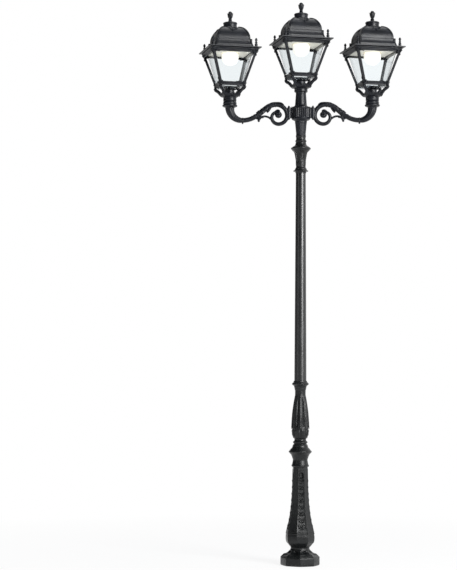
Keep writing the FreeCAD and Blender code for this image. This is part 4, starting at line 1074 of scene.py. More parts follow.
@dataclass
class Hub:
    """Fluted hub with its lip ring, faceted neck below, arm seats and the middle spigot."""

    foot: float = 110.0
    body: float = 76.0
    radius: float = 54.0
    height: float = 280.0
    end: float = 30.5
    waist: float = 38.0
    spigot: float = 30.0
    spigot_height: float = 28.0
    flutes: int = 24
    flute_depth: float = 5.0

    def outline(self, angle: Array, height: Array, radius: Array) -> Array:
        """Radius less the flutes' depth, as |cos(flutes t / 2)|^2.4, on the body, and eight faces on the neck below."""
        flute = self.flute_depth * np.abs(np.cos(self.flutes * angle / 2)) ** 2.4
        ends = hump(height, self.foot + 9.0, self.foot + self.body - 12.0, 4.0)
        facet = radius * (1.0 - octagon(np.mod(angle + EIGHTH * 0.3, EIGHTH) - EIGHTH / 2)) * 0.8
        return radius - flute * ends - facet * hump(height, 8.0, self.foot - 20.0, 6.0)

    def build(self) -> None:
        """Makes the hub with its seats."""
        foot, top, full = self.foot, self.foot + self.body, self.height
        end, waist, wide, spigot = self.end, self.waist, self.radius, self.spigot
        rows = trace([
            (end, 0), (end + 1.5, 2.0), (end + 1.5, 7.0), (end + 0.5, 10.0), (waist - 0.5, foot - 32.0),
            (waist + 1.0, foot - 27.0), (waist + 1.0, foot - 21.0), (waist + 0.5, foot - 17.0, -0.16),
            (wide + 0.5, foot - 8.0), (wide + 2.0, foot - 5.0, 0.3), (wide + 2.0, foot + 2.0),
            (wide - 0.5, foot + 4.0), (wide, foot + 8.0), (wide, top - 9.0), (wide - 0.5, top - 5.0),
            (wide - 1.5, top - 1.0), (wide - 5.0, top + 1.0), (waist + 2.5, top + 5.0), (waist, top + 11.0),
            (waist - 1.0, top + 20.0), (end + 2.0, full - 10.0), (end + 3.0, full - 7.0), (end + 3.0, full - 1.0),
            (end + 1.5, full), (spigot, full), (spigot, full + self.spigot_height),
        ])
        body = casting(refined(rows, 120), 240, bore=WIRE_BORE, change=self.outline)
        put("hub.casting", (body + self.seat().repeated(2)).moved(z=HUB_FOOT), Finish.HEAD, "head", "hub")

    def seat(self) -> Shape:
        """Seat of the right arm: a rounded block from inside the body out to the arm's end block."""
        return blocks([(27.0, 19.0, 40.0), (46.0, 19.0, 40.0), (50.0, 17.5, 37.0), (54.0, 17.5, 36.0),
                       (56.3, 19.8, 40.8), (57.0, 19.0, 40.0)], 5.0).moved(z=ARM_MIDDLE)


def blocks(sections: Sequence[Corner], rounding: float) -> Shape:
    """Form along X through rounded oblongs, each given as its X, half width in Y and half height in Z."""
    out, width, tall = np.array(sections).T[..., None]
    flat, bend = square_ring(6, 5)
    across = flat[None, :, 0] * (width - rounding) + bend[None, :, 0] * rounding
    up = flat[None, :, 1] * (tall - rounding) + bend[None, :, 1] * rounding
    return Shape.grid(np.stack([np.broadcast_to(out, across.shape), across, up], axis=-1))


@dataclass
class Arm:
    """Scroll arm: cup, fluted bend, leaf sheath over the crest, scroll with its bud, stem and end block."""

    reach: float = ARM_REACH
    seat: float = SIDE_SEAT
    cup: float = 45.0
    bend: float = 79.5
    sweep: float = 160.0
    crest: float = 100.0
    rise: float = 40.0
    scroll: float = 70.0
    shrink: float = 0.78
    side: float = 88.0
    thick: tuple[float, float, float, float] = (27.0, 15.5, 14.5, 9.0)
    spigot: float = 30.0
    spigot_height: float = 28.0
    clearance: float = 0.3

    def way(self) -> tuple[Array, Array]:
        """Middle line of the right arm and its radius.

        On an arc of radius R that turns from heading h0 to h, with sign g: x = x0 + g R (sin h - sin h0) and
        z = z0 - g R (cos h - cos h0). A straight rise takes up what is left of the reach.

        Returns:
            Points of shape (n, 3) and radii of shape (n,).
        """
        rise = math.radians(self.rise)
        spare = self.reach - self.side - self.bend - self.scroll - (self.sweep + self.crest) * math.sin(rise)
        cup, low, crest, tip = self.thick
        legs = [(-90.0, self.bend, cup, low), (-self.rise, self.sweep, low, crest),
                (0.0, spare / math.cos(rise), crest, crest), (self.rise, self.crest, crest, crest)]
        ends = np.linspace(crest, tip, 5)
        legs += [(90.0, self.scroll * self.shrink**i, ends[i], ends[i + 1]) for i in range(4)]
        x, z, heading = self.reach, self.seat - self.cup, -math.pi / 2
        points, radii = [np.array([[x, 0.0, self.seat - self.cup * 0.6]])], [np.array([cup])]
        share = np.linspace(0.0, 1.0, 30)
        for turn, size, before, after in legs:
            headings = heading + math.radians(turn) * share
            if turn:
                arc = math.copysign(size, turn)
                xs = x + arc * (np.sin(headings) - math.sin(heading))
                zs = z - arc * (np.cos(headings) - math.cos(heading))
            else:
                xs, zs = x + size * share * math.cos(heading), z + size * share * math.sin(heading)
            points.append(np.stack([xs, 0 * xs, zs], axis=1)[:-1])
            radii.append((before + (after - before) * share)[:-1])
            x, z, heading = float(xs[-1]), float(zs[-1]), float(headings[-1])
        return np.concatenate([*points, [[x, 0.0, z]]]), np.concatenate([*radii, [tip]])

    def sheath(self, points: Array, radii: Array, first: int, last: int, grow: float, lobes: int,
               depth: float) -> Shape:
        """Leaf wrapped round the arm: radius + grow, times 1 + depth (|cos(lobes t / 2)| - 1), closing at its end."""
        share = np.linspace(0.0, 1.0, last - first)
        radius = radii[first:last] + (grow * (1.0 - 0.7 * share) - 2.5 * smooth((share - 0.93) / 0.07))
        waves = 1.0 + depth * (np.abs(np.cos(lobes * around(48) / 2)) - 1.0) * smooth(share * 12)[:, None]
        return carried(points[first:last], radius[:, None], ACROSS, circle(48), waves)

    def build(self, side: str, turn: float) -> None:
        """Makes one arm.

        Args:
            side: left or right.
            turn: Turn about the post, in degrees.
        """
        points, radii = self.way()
        along = np.linspace(0.0, 1.0, len(points))[:, None]
        ridge = 1.0 + 0.06 * (np.abs(np.cos(2 * around(40))) - 0.5) * smooth((along - 0.2) * 8)
        low = points[30]
        parts = [
            carried(points, radii[:, None], ACROSS, circle(40), ridge),
            self.sheath(points, radii, 0, 31, 2.4, 12, 0.1), self.sheath(points, radii, 60, 116, 4.0, 9, 0.12),
            ball(5.6).moved(low[0] - 2.0, 0.0, low[2] - radii[30] - 3.0),
            *(ring_round(points, radii, index, thick) for index, thick in ((31, 2.4), (60, 3.4), (115, 2.6))),
            *self.crest_leaves(), *self.stem(), *self.bud(), self.end_block(), self.cup_shape(),
        ]
        put(f"arm_{side}.casting", total(parts).turned(turn), Finish.HEAD, "head", f"arm_{side}")

    def crest_leaves(self) -> list[Shape]:
        """Leaves over the crest: a flat one on top, curled tips above and below, and two on each side."""
        parts = [
            leaf([(206, 0, 2903), (188, 0, 2913), (160, 0, 2916), (128, 0, 2914.5), (108, 0, 2904)],
                 12.0, 5.4, lobes=3, start=0.4, end=0.5),
            leaf([(214, 0, 2893), (230, 0, 2884), (244, 0, 2873), (253, 0, 2874), (253, 0, 2880)],
                 9.5, 4.6, start=0.5, end=0.4),
            leaf([(190, 0, 2886), (203, 0, 2872), (211, 0, 2860), (206, 0, 2855)],
                 9.0, 4.6, (0, 1, 0.3), start=0.5, end=0.4),
            leaf([(286, 0, 2849), (272, 0, 2862), (262, 0, 2868)], 7.0, 3.4, start=0.3, end=0.3),
        ]
        for hand in HANDS:
            for points, width, height, end in (
                ([(168, 14.5, 2902), (196, 15.0, 2894), (222, 16.0, 2876), (240, 17.5, 2858), (244, 20.0, 2852)],
                 10.0, 3.4, 0.25),
                ([(262, 15.0, 2852), (282, 16.0, 2836), (304, 17.0, 2826), (318, 16.0, 2820)], 8.5, 2.6, 0.1),
            ):
                parts.append(leaf(np.multiply(points, (1, hand, 1)), width, height, (0, hand, 0), 3, 0.3, end))
        return parts

    def stem(self) -> list[Shape]:
        """Leaf stem between the arm and the scroll, with a calyx at its root that hangs a tip below."""
        path = curve([(274, 0, 2829), (262, 0, 2821), (246, 0, 2826), (228, 0, 2829), (208, 0, 2824),
                      (190, 0, 2812), (178, 0, 2799)], 40)
        width = 6.6 + 1.4 * np.abs(np.linspace(-1, 1, 40)) ** 2
        side_leaf = [(232, 5.0, 2828), (250, 7.5, 2824), (270, 6.0, 2822)]
        return [
            carried(path, width[:, None], ACROSS),
            leaf([(254, 0, 2820), (264, 0, 2812), (268, 0, 2801), (262, 0, 2796)], 8.0, 5.0, ACROSS, 0, 0.6, 0.35),
            leaf([(250, 0, 2826), (268, 0, 2816), (284, 0, 2812)], 6.5, 4.4, ACROSS, 0, 0.5, 0.3),
            ring_round(path, width, 10, 1.8),
            *(leaf(np.multiply(side_leaf, (1, hand, 1)), 7.5, 2.6, (0, hand, 0), 2, 0.3, 0.3) for hand in HANDS),
        ]

    def bud(self) -> list[Shape]:
        """Eye of the scroll: a flower bud with a rosette on each side and a small leaf over it."""
        x, z = 142.8, 2839.0
        flower = rosette(16.0, 5.0, 5, 0.3)
        return [
            ball(21.5, 32).changed(lambda p: p * np.array([1.06, 0.9, 1.0])).moved(x, 0, z),
            laid(flower, (x, -17.0, z), (1, 0, 0), (0, -1, 0)),
            laid(flower, (x, 17.0, z), (-1, 0, 0), (0, 1, 0)),
            leaf([(168, 0, 2848), (160, 0, 2858), (149, 0, 2864), (140, 0, 2863), (134, 0, 2857)],
                 9.5, 5.5, ACROSS, 0, 0.4, 0.4),
        ]

    def end_block(self) -> Shape:
        """End block against the hub's seat, drawn in along its middle."""
        return blocks([(57.3, 16.2, 40.0), (58.0, 17.0, 41.0), (60.0, 15.5, 35.0), (63.0, 14.0, 32.0),
                       (67.0, 14.5, 35.0), (71.0, 16.0, 41.0), (75.0, 17.0, 44.5), (79.0, 17.0, 44.5),
                       (84.0, 15.0, 36.0), (90.0, 11.0, 22.0)], 5.0).moved(z=HUB_FOOT + ARM_MIDDLE)

    def cup_shape(self) -> Shape:
        """Cup with its lip and bead, and the spigot on it: heights are shares of the cup's, counted down."""
        under, seat, spigot = 1.0 + 4.0 / self.cup, self.clearance / self.cup, -self.spigot_height / self.cup
        rows = trace([
            (27.0, under), (29.5, 1.0), (31.0, 0.94, -0.12), (41.5, 0.86), (46.0, 0.8),
            (47.5, 0.75), (47.5, 0.64), (46.0, 0.58), (41.5, 0.53), (41.0, 0.5, 0.16), (40.5, 0.15),
            (38.5, 0.11), (41.0, 0.07), (42.0, 0.05), (42.0, seat), (self.spigot, seat), (self.spigot, spigot),
        ], steps=14, tall=-self.cup)
        return casting(rows, bore=WIRE_BORE).moved(self.reach, 0.0, self.seat)


def ring_round(points: Array, radii: Array, index: int, thick: float) -> Shape:
    """Ring that stands round an arm at one of its points."""
    way = unit(points[index + 1] - points[index - 1])
    side = np.array([-way[2], 0.0, way[0]])
    angle, band = around(40)[..., None], around(10).T[..., None]
    spread = np.cos(angle) * side + np.sin(angle) * np.array(ACROSS)
    grid = points[index] + spread * (radii[index] + thick * np.cos(band)) + way * thick * 1.6 * np.sin(band)
    return Shape.grid(grid, along=True)


# A lantern


def wrapped(relief: Shape, profile: Array, at: float) -> Shape:
    """A relief made on the plane z = 0, bent over the face that looks along -Y.

    Its Y runs up the profile from the run at, its X along the face and its Z off it: with half h and height v
    at a run, and the way's normal n, the point is (x, -(h + n_h z), v + n_v z).

    Args:
        relief: The relief.
        profile: Points of (half side, height), from the foot up.
        at: Run along the profile where the relief's middle goes.

    Returns:
        The bent relief.
    """
    way = unit(np.gradient(profile, axis=0))
    normal = np.stack([way[:, 1], -way[:, 0]], axis=1)

    def bend(points: Array) -> Array:
        """Bends the points."""
        run, places = run_along(profile), at + points[:, 1]
        half, height = (sampled(profile, run, places) + sampled(normal, run, places) * points[:, 2:]).T
        return np.stack([points[:, 0], -half, height], axis=1)

    return relief.changed(bend)


@dataclass
class Roof:
    """Cast roof: bevelled rim, rolled cornice with corner fins, and a ribbed four-sided dome with shells."""

    rim: float = 168.0
    thick: float = 8.0
    cornice_foot: float = 121.0
    cornice_top: float = 112.0
    cornice_height: float = 54.0
    dome_foot: float = 107.0
    shoulder: float = 89.0
    shoulder_height: float = 113.0
    crown: float = 48.0
    height: float = 138.0
    wall: float = 3.5

    def dome(self) -> Array:
        """Outline of the dome: near upright at its foot, round over its shoulder."""
        return trace([(self.dome_foot, self.cornice_height + 1.0, 0.085),
                      (self.shoulder, self.shoulder_height, 0.12), (self.crown, self.height)], steps=18, soften=3.0)

    def shell(self) -> Shape:
        """Relief at the top of a dome side: two fans of curved lobes and one pointed leaf that hangs between them."""
        lobes = (((4, 20), (20, 26), (34, 19)), 4.4), (((5, 15), (22, 12), (35, 5)), 4.8), \
            (((5, 8), (18, 0), (29, -9)), 5.0), (((4, 2), (11, -9), (17, -18)), 5.0)
        parts = []
        for hand in HANDS:
            parts.append(volute(8.0, 2.4, 1.2).changed(
                lambda p, h=hand: p * np.array([h, 1.25, 1]) + np.array([h * 15.0, 17.0, 0.3])))
            for ends, wide in lobes:
                points = [(hand * x, y, lift) for (x, y), lift in zip(ends, (0.4, 1.6, 0.2))]
                parts.append(leaf(points, wide, 2.6, start=0.3, end=0.35, count=20))
        parts.append(leaf([(0, 12, 0.6), (0, -8, 2.2), (0, -29, 0.2)], 8.0, 3.4, lobes=2, count=28))
        return total(parts)

    def ribs(self, dome: Array) -> list[Shape]:
        """A raised band with a groove beside each edge of the dome, on each of its sides, rounded at its foot."""
        section = np.array([[-1, -0.8], [-1, 0.6], [-0.85, 1], [-0.3, 1], [-0.18, 0.1], [0.0, 0.0], [0.16, 0.1],
                            [0.28, 1], [0.82, 1], [1, 0.6], [1, -0.8]], float)
        reach, height = np.concatenate([dome[0] + np.array([[1.5, -5.0], [1.2, -2.0]]), dome]).T
        width = 5.4 * np.minimum(1.0, np.linspace(0.5, 12.0, len(reach)))
        scale = np.stack([width, 2.0 + 0 * width], axis=1)
        return [carried(np.stack([hand * (reach - 6.8), 0.3 - reach, height], axis=1), scale, (0, -1, 0.3), section)
                for hand in HANDS]

    def fin(self) -> Shape:
        """Fin on a corner of the cornice, 12 mm thick, with a hollow outer line from the rim to the cornice's top."""
        foot, top = (self.cornice_foot + 6.0) * DIAGONAL, (self.cornice_top + 3.5) * DIAGONAL
        reach, height = trace([(foot, 0.0), (foot, 6.0, -0.13), (top, 46.0), (top, self.cornice_height)],
                              steps=18, soften=1.0).T
        inner = np.full(len(reach), self.cornice_top * DIAGONAL - 9.0)
        half, bevel = 6.0, 1.5
        lines = [(inner, -half), (reach - bevel, -half), (reach, bevel - half), (reach, half - bevel),
                 (reach - bevel, half), (inner, half)]
        return Shape.grid(np.stack([np.stack([x, y + 0 * x, height], axis=1) for x, y in lines], axis=1))

    def make(self) -> Shape:
        """The whole roof."""
        rim, foot, top, level = self.rim, self.cornice_foot, self.cornice_top, self.cornice_height
        dome = self.dome()
        cornice = trace([
            (rim - 12.5, -self.thick), (rim - 11.0, -self.thick), (rim - 0.6, -6.2), (rim, -5.6), (rim, -0.6),
            (rim - 0.6, 0.0), (foot + 2.0, 0.3), (foot - 2.0, 3.0), (foot - 1.0, 8.0, 0.14), (top + 0.8, 34.0),
            (top - 0.6, 40.0), (top + 0.2, 44.0), (top, 52.0), (top - 2.0, level), (self.dome_foot + 1.0, level + 0.4),
        ], steps=16, soften=0.8)
        under = self.height - self.wall
        inside = np.array([
            (34.0, self.height), (34.0, under), (self.crown - 2.0, under),
            (self.shoulder - self.wall, self.shoulder_height - 3.0), (self.dome_foot - self.wall, level),
            (top - 4.0, level - self.wall), (foot - 4.5, 2.0), (112.0, -3.5), (112.0, -self.thick),
        ])
        rounding = np.repeat([1.5, 2.5, 3.5, 34.0, 2.0], [6, len(cornice) - 6, len(dome), 2, 7])
        body = square_stack(np.concatenate([cornice, dome, inside]), rounding, closed=True, side_points=14)
        side = total(self.ribs(dome) + [wrapped(self.shell(), dome, 76.0)])
        return body + side.repeated(4) + self.fin().repeated(4, 45.0)


@dataclass
class Crown:
    """Vent cap and tulip finial over the dome, and the four corner finials."""

    foot: float = 138.0
    vent: float = 43.5
    lid: float = 45.0
    vent_height: float = 38.0
    cap: float = 189.0
    finial: float = 59.0

    def vent_cap(self) -> Shape:
        """Vent collar with its lid."""
        foot, top, vent, lid, cap = self.foot, self.foot + self.vent_height, self.vent, self.lid, self.cap
        return turned(trace([
            (40.0, foot + 0.2), (vent, foot + 0.2), (vent, foot + 4.0), (vent - 0.9, foot + 5.4),
            (vent - 0.9, top - 13.5), (lid - 2.4, top - 12.4), (lid - 0.6, top - 10.6, 0.12), (lid - 0.6, top - 4.0),
            (lid - 3.0, top - 1.2), (lid - 6.0, top), (25.0, top + 3.0, -0.12), (12.0, top + 10.5),
            (11.0, top + 12.5), (10.6, cap), (3.2, cap), (3.2, top - 3.5), (40.0, top - 3.5),
        ], soften=0.9), closed=True)

    def tulip(self) -> Shape:
        """Tulip of six petals with pointed curled tips round a bud, on a ring.

        The cup's edge stands at 36 + 11 p over the foot, where p falls from 1 in a petal's middle to 0 between
        two, and its tips flare by 3 p.
        """
        base = turned(trace([
            (3.0, -12.0), (3.0, 0.0), (8.8, 0.0), (10.4, 1.4, 0.3), (10.4, 7.2), (8.6, 9.0), (8.2, 10.0), (8.6, 13.0),
        ], steps=8, soften=0.7), 48)
        bud = turned(trace([(5.0, 18.0), (12.5, 30.0), (13.2, 40.0, 0.1), (12.0, 50.0, 0.16), (0.8, 58.8)],
                           steps=8, soften=0.8), 48)
        angle = around(96)
        away = np.abs(np.sin(3 * angle))
        peak = (1.0 - away) ** 0.8
        share = np.linspace(0.0, 1.0, 18)[:, None]
        height = 9.6 + share * (26.4 + 11.0 * peak)
        known = ([9.6, 14.0, 18.3, 24.0, 29.0, 39.0, 48.0], [8.6, 11.4, 13.6, 15.5, 16.4, 17.0, 18.6])
        groove = 2.0 * np.exp(-(((1.0 - away) / 0.035) ** 2)) * smooth(share * 5)
        reach = np.interp(height, *known) + 3.0 * peak * share**5 - groove + 0.7 * peak**3 * share
        cup = Shape.grid(np.concatenate([
            spun(reach, angle, height), spun(reach[-1:] - 2.4, angle, height[-1:] - 1.2), spun(11.0, angle, 31.0)]))
        return (base + bud + cup).moved(z=self.cap)

    def corner_finials(self) -> Shape:
        """Four corner finials: a cylinder, two beads and an egg."""
        return turned(trace([
            (3.0, -26.0), (3.0, 0.0), (9.0, 0.0), (9.3, 1.0), (9.3, 19.4), (8.8, 20.8), (6.6, 21.6), (5.8, 23.4),
            (6.2, 25.6), (7.4, 27.2, 0.3), (7.4, 31.4), (5.2, 33.4), (4.8, 35.4), (5.2, 37.0), (6.8, 39.0, 0.12),
            (6.8, 50.0), (4.6, 55.0), (2.6, 57.2), (0.5, 58.0),
        ], steps=5, soften=0.6), 40).moved(FINIAL_PLACE, FINIAL_PLACE).repeated(4)


@dataclass
class Cage:
    """Tapered cage: channelled corner posts, moulded rails, rosettes and scrolls in its corners."""

    top: float = 150.4
    foot: float = 79.0
    low: float = -238.0
    high: float = -10.0
    post: float = 16.5
    depth: float = 8.0
    top_rail: float = -33.0
    foot_rail: float = -214.0

    def half(self, height: Array | float) -> Array | float:
        """Half side at a height, on a straight line from the foot to the top."""
        return self.foot + (self.top - self.foot) * (height - self.low) / (self.high - self.low)

    def corner_post(self) -> Shape:
        """One post: an L whose faces have a shallow channel, carried up the corner."""
        post, depth = self.post, self.depth
        one_side = np.array([[0, -post], [0, -post + 2.6], [-1.1, -post + 3.4], [-1.1, -5.4], [0, -4.6], [0, -2.2],
                             [-0.7, -0.7]])
        other = one_side[:-1][::-1, ::-1]
        back = np.array([[-post, -depth], [-depth - 1.5, -depth], [-depth, -depth - 1.5], [-depth, -post]])
        section = np.concatenate([one_side, other, back])
        height = np.array([self.low, self.low + 2, self.foot_rail, -120.0, self.top_rail, self.high])
        half = self.half(height)
        flat = section[None] + half[:, None, None]
        level = np.broadcast_to(height[:, None, None], flat.shape[:2] + (1,))
        return Shape.grid(np.concatenate([flat, level], axis=-1))

    def rails(self) -> list[Shape]:
        """Both rails, each a closed square ring with a bead along its edges."""
        half, low, high = self.half, self.top_rail, self.high
        lo, hi = half(low), half(high)
        top = trace([
            (lo - 1.0, low), (lo + 0.8, low + 1.0), (lo + 1.6, low + 3.0), (lo + 1.0, low + 5.0),
            *((half(z) + out, z) for z, out in ((-27.0, -1.4), (-24.0, -1.4), (-23.0, 1.2), (-20.0, 1.2),
                                                (-19.0, -1.4), (-17.0, -1.4), (-15.5, 2.2))),
            (hi + 2.4, -12.5), (hi + 2.4, -10.2), (hi - 8.0, -10.2), (lo - 8.0, low), (lo - 1.0, low),
        ], steps=6, soften=0.5)
        low, high = self.low, self.foot_rail
        lo, hi = half(low), half(high)
        foot = trace([
            (lo - 1.0, low), (lo + 0.6, low + 0.8), (lo + 1.2, low + 3.0), (lo + 0.6, low + 5.0),
            (half(-231.5) - 0.9, -231.5), (half(-221.0) - 0.9, -221.0), (hi + 0.4, high - 4.5),
            (hi + 1.0, high - 2.5), (hi + 0.2, high - 0.6), (hi - 1.0, high), (hi - 8.0, high), (lo - 8.0, low),
            (lo - 1.0, low),
        ], steps=6, soften=0.7)
        # The last point lies on the first.
        return [square_stack(rail[:-1], 1.5, closed=True) for rail in (top, foot)]

    def ornaments(self) -> list[Shape]:
        """Rosettes and scrolls of the face that looks along -Y, each at its place in from both its ends."""
        out = (0.0, -1.0, -(self.top - self.foot) / (self.high - self.low))
        reliefs = [
            (rosette(11.5, 4.4, 6), 9.0, -23.0), (rosette(9.6, 4.8, 5), 24.5, -28.5),
            (leaf([(6, 2, 0.2), (-6, 9, 1.6), (-18, 9, 1.4), (-28, 4, 1.2), (-33, 7, 0.6)], 4.6, 3.2, lobes=3,
                  count=30, end=0.5), 26.0, -24.0),
            (leaf([(0, 0, 0.2), (1, -14, 1.6), (3, -28, 0.3)], 5.0, 2.8, lobes=2, count=22), 9.0, -30.0),
            (rosette(11.5, 4.4, 6), 13.0, -219.0), (rosette(8.6, 3.8, 5), 29.0, -222.0),
            (leaf([(2, 0, 0.2), (-9, 4, 1.4), (-20, 2, 1.0), (-34, 4, 0.2)], 4.4, 2.6, lobes=4, count=30),
             33.0, -217.0),
            (leaf([(0, 0, 0.2), (-1, 12, 1.4), (-2, 22, 0.2)], 4.4, 2.4, lobes=2, count=20), 10.0, -210.0),
        ]
        return [laid(relief, (hand * (self.half(z) - x), -self.half(z) - 0.2, z), (hand, 0.0, 0.0), out)
                for hand in HANDS for relief, x, z in reliefs]

    def make(self) -> Shape:
        """The whole cage with its screw bosses."""
        low, corner = self.low, self.foot - 2.5
        boss = turned(trace([(7.0, -28.5), (7.6, -27.5), (7.6, self.high)], soften=0.5), 24)
        knob = turned(trace([(4.0, low - 1.0), (9.4, low + 1.5), (11.0, low + 6.0), (9.4, low + 11.0),
                             (4.0, low + 14.0)], soften=2.0), 28).moved(corner, corner)
        return total([self.corner_post().repeated(4), *self.rails(), total(self.ornaments()).repeated(4),
                      boss.moved(FINIAL_PLACE, FINIAL_PLACE).repeated(4), knob.repeated(4)])


@dataclass
class Bracket:
    """Four curved legs with leaves, from the cage's corners down to the collar on the spigot."""

    collar: float = 42.0
    foot: float = -327.0
    collar_height: float = 22.0
    crown: float = -295.0
    corner: float = 110.3
    leg: float = 9.8
    bore: float = 30.05

    def leg_shape(self) -> Shape:
        """One leg along +X from its foot boss, down and in to the crown, widening towards the crown."""
        path = curve([(self.corner, 0, -242.0), (self.corner - 1.5, 0, -247.5), (103.0, 0, -252.5),
                      (92.0, 0, -258.5), (81.0, 0, -267.5), (71.5, 0, -278.0), (61.0, 0, -287.0),
                      (48.0, 0, -293.0), (32.0, 0, -297.0)], 44)
        share = np.linspace(0.0, 1.0, 44)
        scale = np.stack([self.leg - 0.6 + 5.0 * smooth((share - 0.6) / 0.4), self.leg + 0 * share], axis=1)
        up = (0.3, 0.0, 1.0)
        ridge = carried(path[4:36] + np.array([1.0, 0.0, -1.0]), (2.4, self.leg + 0.8), up, circle(10))
        knob = turned(trace([(3.0, -253.0), (8.2, -251.0), (10.6, -246.5), (10.6, -243.0), (9.0, -239.6),
                             (7.6, -238.3)], soften=1.5), 28)
        return total([carried(path, scale, up, circle(20, 0.86)), ridge, knob.moved(self.corner)])

    def web(self) -> Shape:
        """Bowl between the legs whose upper edge is a U between two of them: -289 + 30 u^3, u from 0 to 1 at a leg."""
        angle = around(144)
        near = np.abs(np.mod(angle + math.pi / 4, math.pi / 2) - math.pi / 4) / (math.pi / 4)
        edge = -289.0 + 30.0 * near**3
        height = -306.0 + (edge + 306.0) * np.linspace(0.0, 1.0, 10)[:, None]
        known = ([-306, -302, -297, -290, -282, -272, -259], [41, 50, 57, 62, 69, 76, 86])
        reach = np.interp(height, *known)
        return Shape.grid(np.concatenate([
            spun(reach, angle, height), spun(reach[-1:] - 3.5, angle, edge + 1.6),
            spun(reach[::-1] - 8.0, angle, height[::-1] + 1.5)]), along=True)

    def make(self) -> Shape:
        """The whole bracket, with a leaf on the crown between each two legs."""
        foot, top, collar, bore, crown = self.foot, self.foot + self.collar_height, self.collar, self.bore, self.crown
        body = turned(trace([
            (bore, foot), (collar - 1.0, foot), (collar, foot + 1.2), (collar, foot + 15.0),
            (collar - 0.9, foot + 16.0), (collar - 0.9, foot + 17.4), (collar, foot + 18.4), (collar, top - 0.5),
            (collar - 1.5, top + 0.6, 0.12), (32.5, crown - 2.0), (31.0, crown), (WIRE_BORE, crown),
            (WIRE_BORE, foot + 28.3), (bore, foot + 28.3),
        ], soften=0.8), closed=True)
        spray = [leaf([(0, -8, 0), (0, 1, 1.4), (0, 10, 0.4)], 6.4, 3.0, start=0.5, end=0.4, count=20)]
        for hand in HANDS:
            side_leaf = np.multiply([(2, -8, 0), (8, 0, 1.2), (12, 7, 0.8), (18, 7, 0.2)], (hand, 1, 1))
            spray.append(leaf(side_leaf, 5.0, 2.6, lobes=2, start=0.4, end=0.4, count=22))
            spray.append(volute(5.0, 1.8, 1.1, 28).changed(
                lambda p, h=hand: p * np.array([h, 1, 1]) + np.array([h * 13.0, 0.0, 0.6])))
        ornament = laid(total(spray), (62.0, 0.0, -290.0), ACROSS, (0.94, 0, -0.34))
        return body + self.web() + self.leg_shape().repeated(4, 45.0) + ornament.repeated(4)


@dataclass
class Lantern:
    """One lantern: its pieces are worked out once and then set on each spigot, turned by 15 degrees."""

    turn: float = 15.0
    rim: float = 327.0

    def diffuser(self) -> Shape:
        """Clear tapered box with a floor, a lip and a round hole for the gland's nipple."""
        rows = np.array([
            (10.4, -247.0), (63.5, -247.0), (65.7, -246.0), (66.5, -244.0), (126.0, -12.6), (131.0, -12.6),
            (131.0, -10.2), (123.0, -10.2), (63.1, -243.0), (61.5, -244.0), (10.4, -244.0),
        ])
        rounding = np.array([10.4, 4.0, 4.5, 5.0, 5.0, 5.0, 5.0, 3.0, 3.0, 3.0, 10.4])
        return square_stack(rows, rounding, closed=True, side_points=4)

    def reflector(self) -> Shape:
        """White tray with a folded edge and a round well for the lamp."""
        rows = np.array([
            (116.8, -8.2), (117.0, -9.0), (117.0, -22.5), (115.5, -24.0), (60.0, -24.0), (57.0, -23.2), (55.5, -21.0),
            (55.5, 9.0), (54.0, 10.5), (15.0, 10.5), (15.0, 12.0), (55.5, 12.0), (57.0, 10.5), (57.0, -22.5),
            (115.5, -22.5), (115.5, -8.2),
        ])
        rounding = np.array([3, 3, 3, 3, 60, 57, 55.5, 55.5, 54, 15, 15, 55.5, 57, 57, 2, 2], float)
        return square_stack(rows, rounding, closed=True, side_points=14)

    def lamp(self) -> Shape:
        """Opal globe on its neck with the screw cap: a sphere up to the neck, then a turned stem."""
        low = np.linspace(0.04, math.pi - 0.33, 40)
        globe = np.stack([54.0 * np.sin(low), -46.0 - 54.0 * np.cos(low)], axis=1)
        stem = trace([(17.0, 6.4), (16.0, 8.5), (13.0, 11.0), (13.0, 31.5), (9.0, 35.0), (5.0, 36.6)], soften=0.8)
        return turned(np.concatenate([globe, stem]), 96)

    def gland(self) -> Shape:
        """Cup under the diffuser with a flange and the nipple through the floor."""
        return turned(trace([
            (25.5, -294.8), (28.4, -294.8), (29.0, -293.0), (28.6, -290.0), (28.4, -276.0), (28.7, -262.0),
            (29.4, -257.5), (34.0, -255.2), (41.0, -254.2), (42.0, -253.2), (42.0, -251.8), (41.0, -251.1),
            (18.0, -251.1), (18.0, -247.2), (10.0, -247.2), (10.0, -237.0), (7.0, -237.0), (7.0, -254.0),
            (25.5, -255.5),
        ], soften=0.8), 72, closed=True)

    def build(self, places: dict[str, tuple[float, float]]) -> None:
        """Makes all the lanterns.

        Args:
            places: For each side, the distance from the post's axis and the height of the seat.
        """
        crown = Crown()
        pieces = [
            ("roof", "roof", Roof().make(), Finish.HEAD), ("vent_cap", "roof", crown.vent_cap(), Finish.HEAD),
            ("crown_finial", "roof", crown.tulip(), Finish.HEAD),
            ("corner_finials", "roof", crown.corner_finials(), Finish.HEAD),
            ("reflector", "roof", self.reflector(), Finish.ENAMEL), ("lamp", "lamp", self.lamp(), Finish.GLOBE),
            ("cage", "lantern", Cage().make(), Finish.HEAD),
            ("diffuser", "lantern", self.diffuser(), Finish.DIFFUSER),
            ("gland_cup", "lantern", self.gland(), Finish.HEAD),
            ("leg_bracket", "lantern", Bracket().make(), Finish.HEAD),
        ]
        for side, (out, seat) in places.items():
            for node, body, shape, finish in pieces:
                placed = shape.turned(self.turn).moved(out, 0.0, seat + self.rim)
                put(f"{node}_{side}.piece", placed, finish, f"{body}_{side}", f"{node}_{side}")


# Light, floor and camera


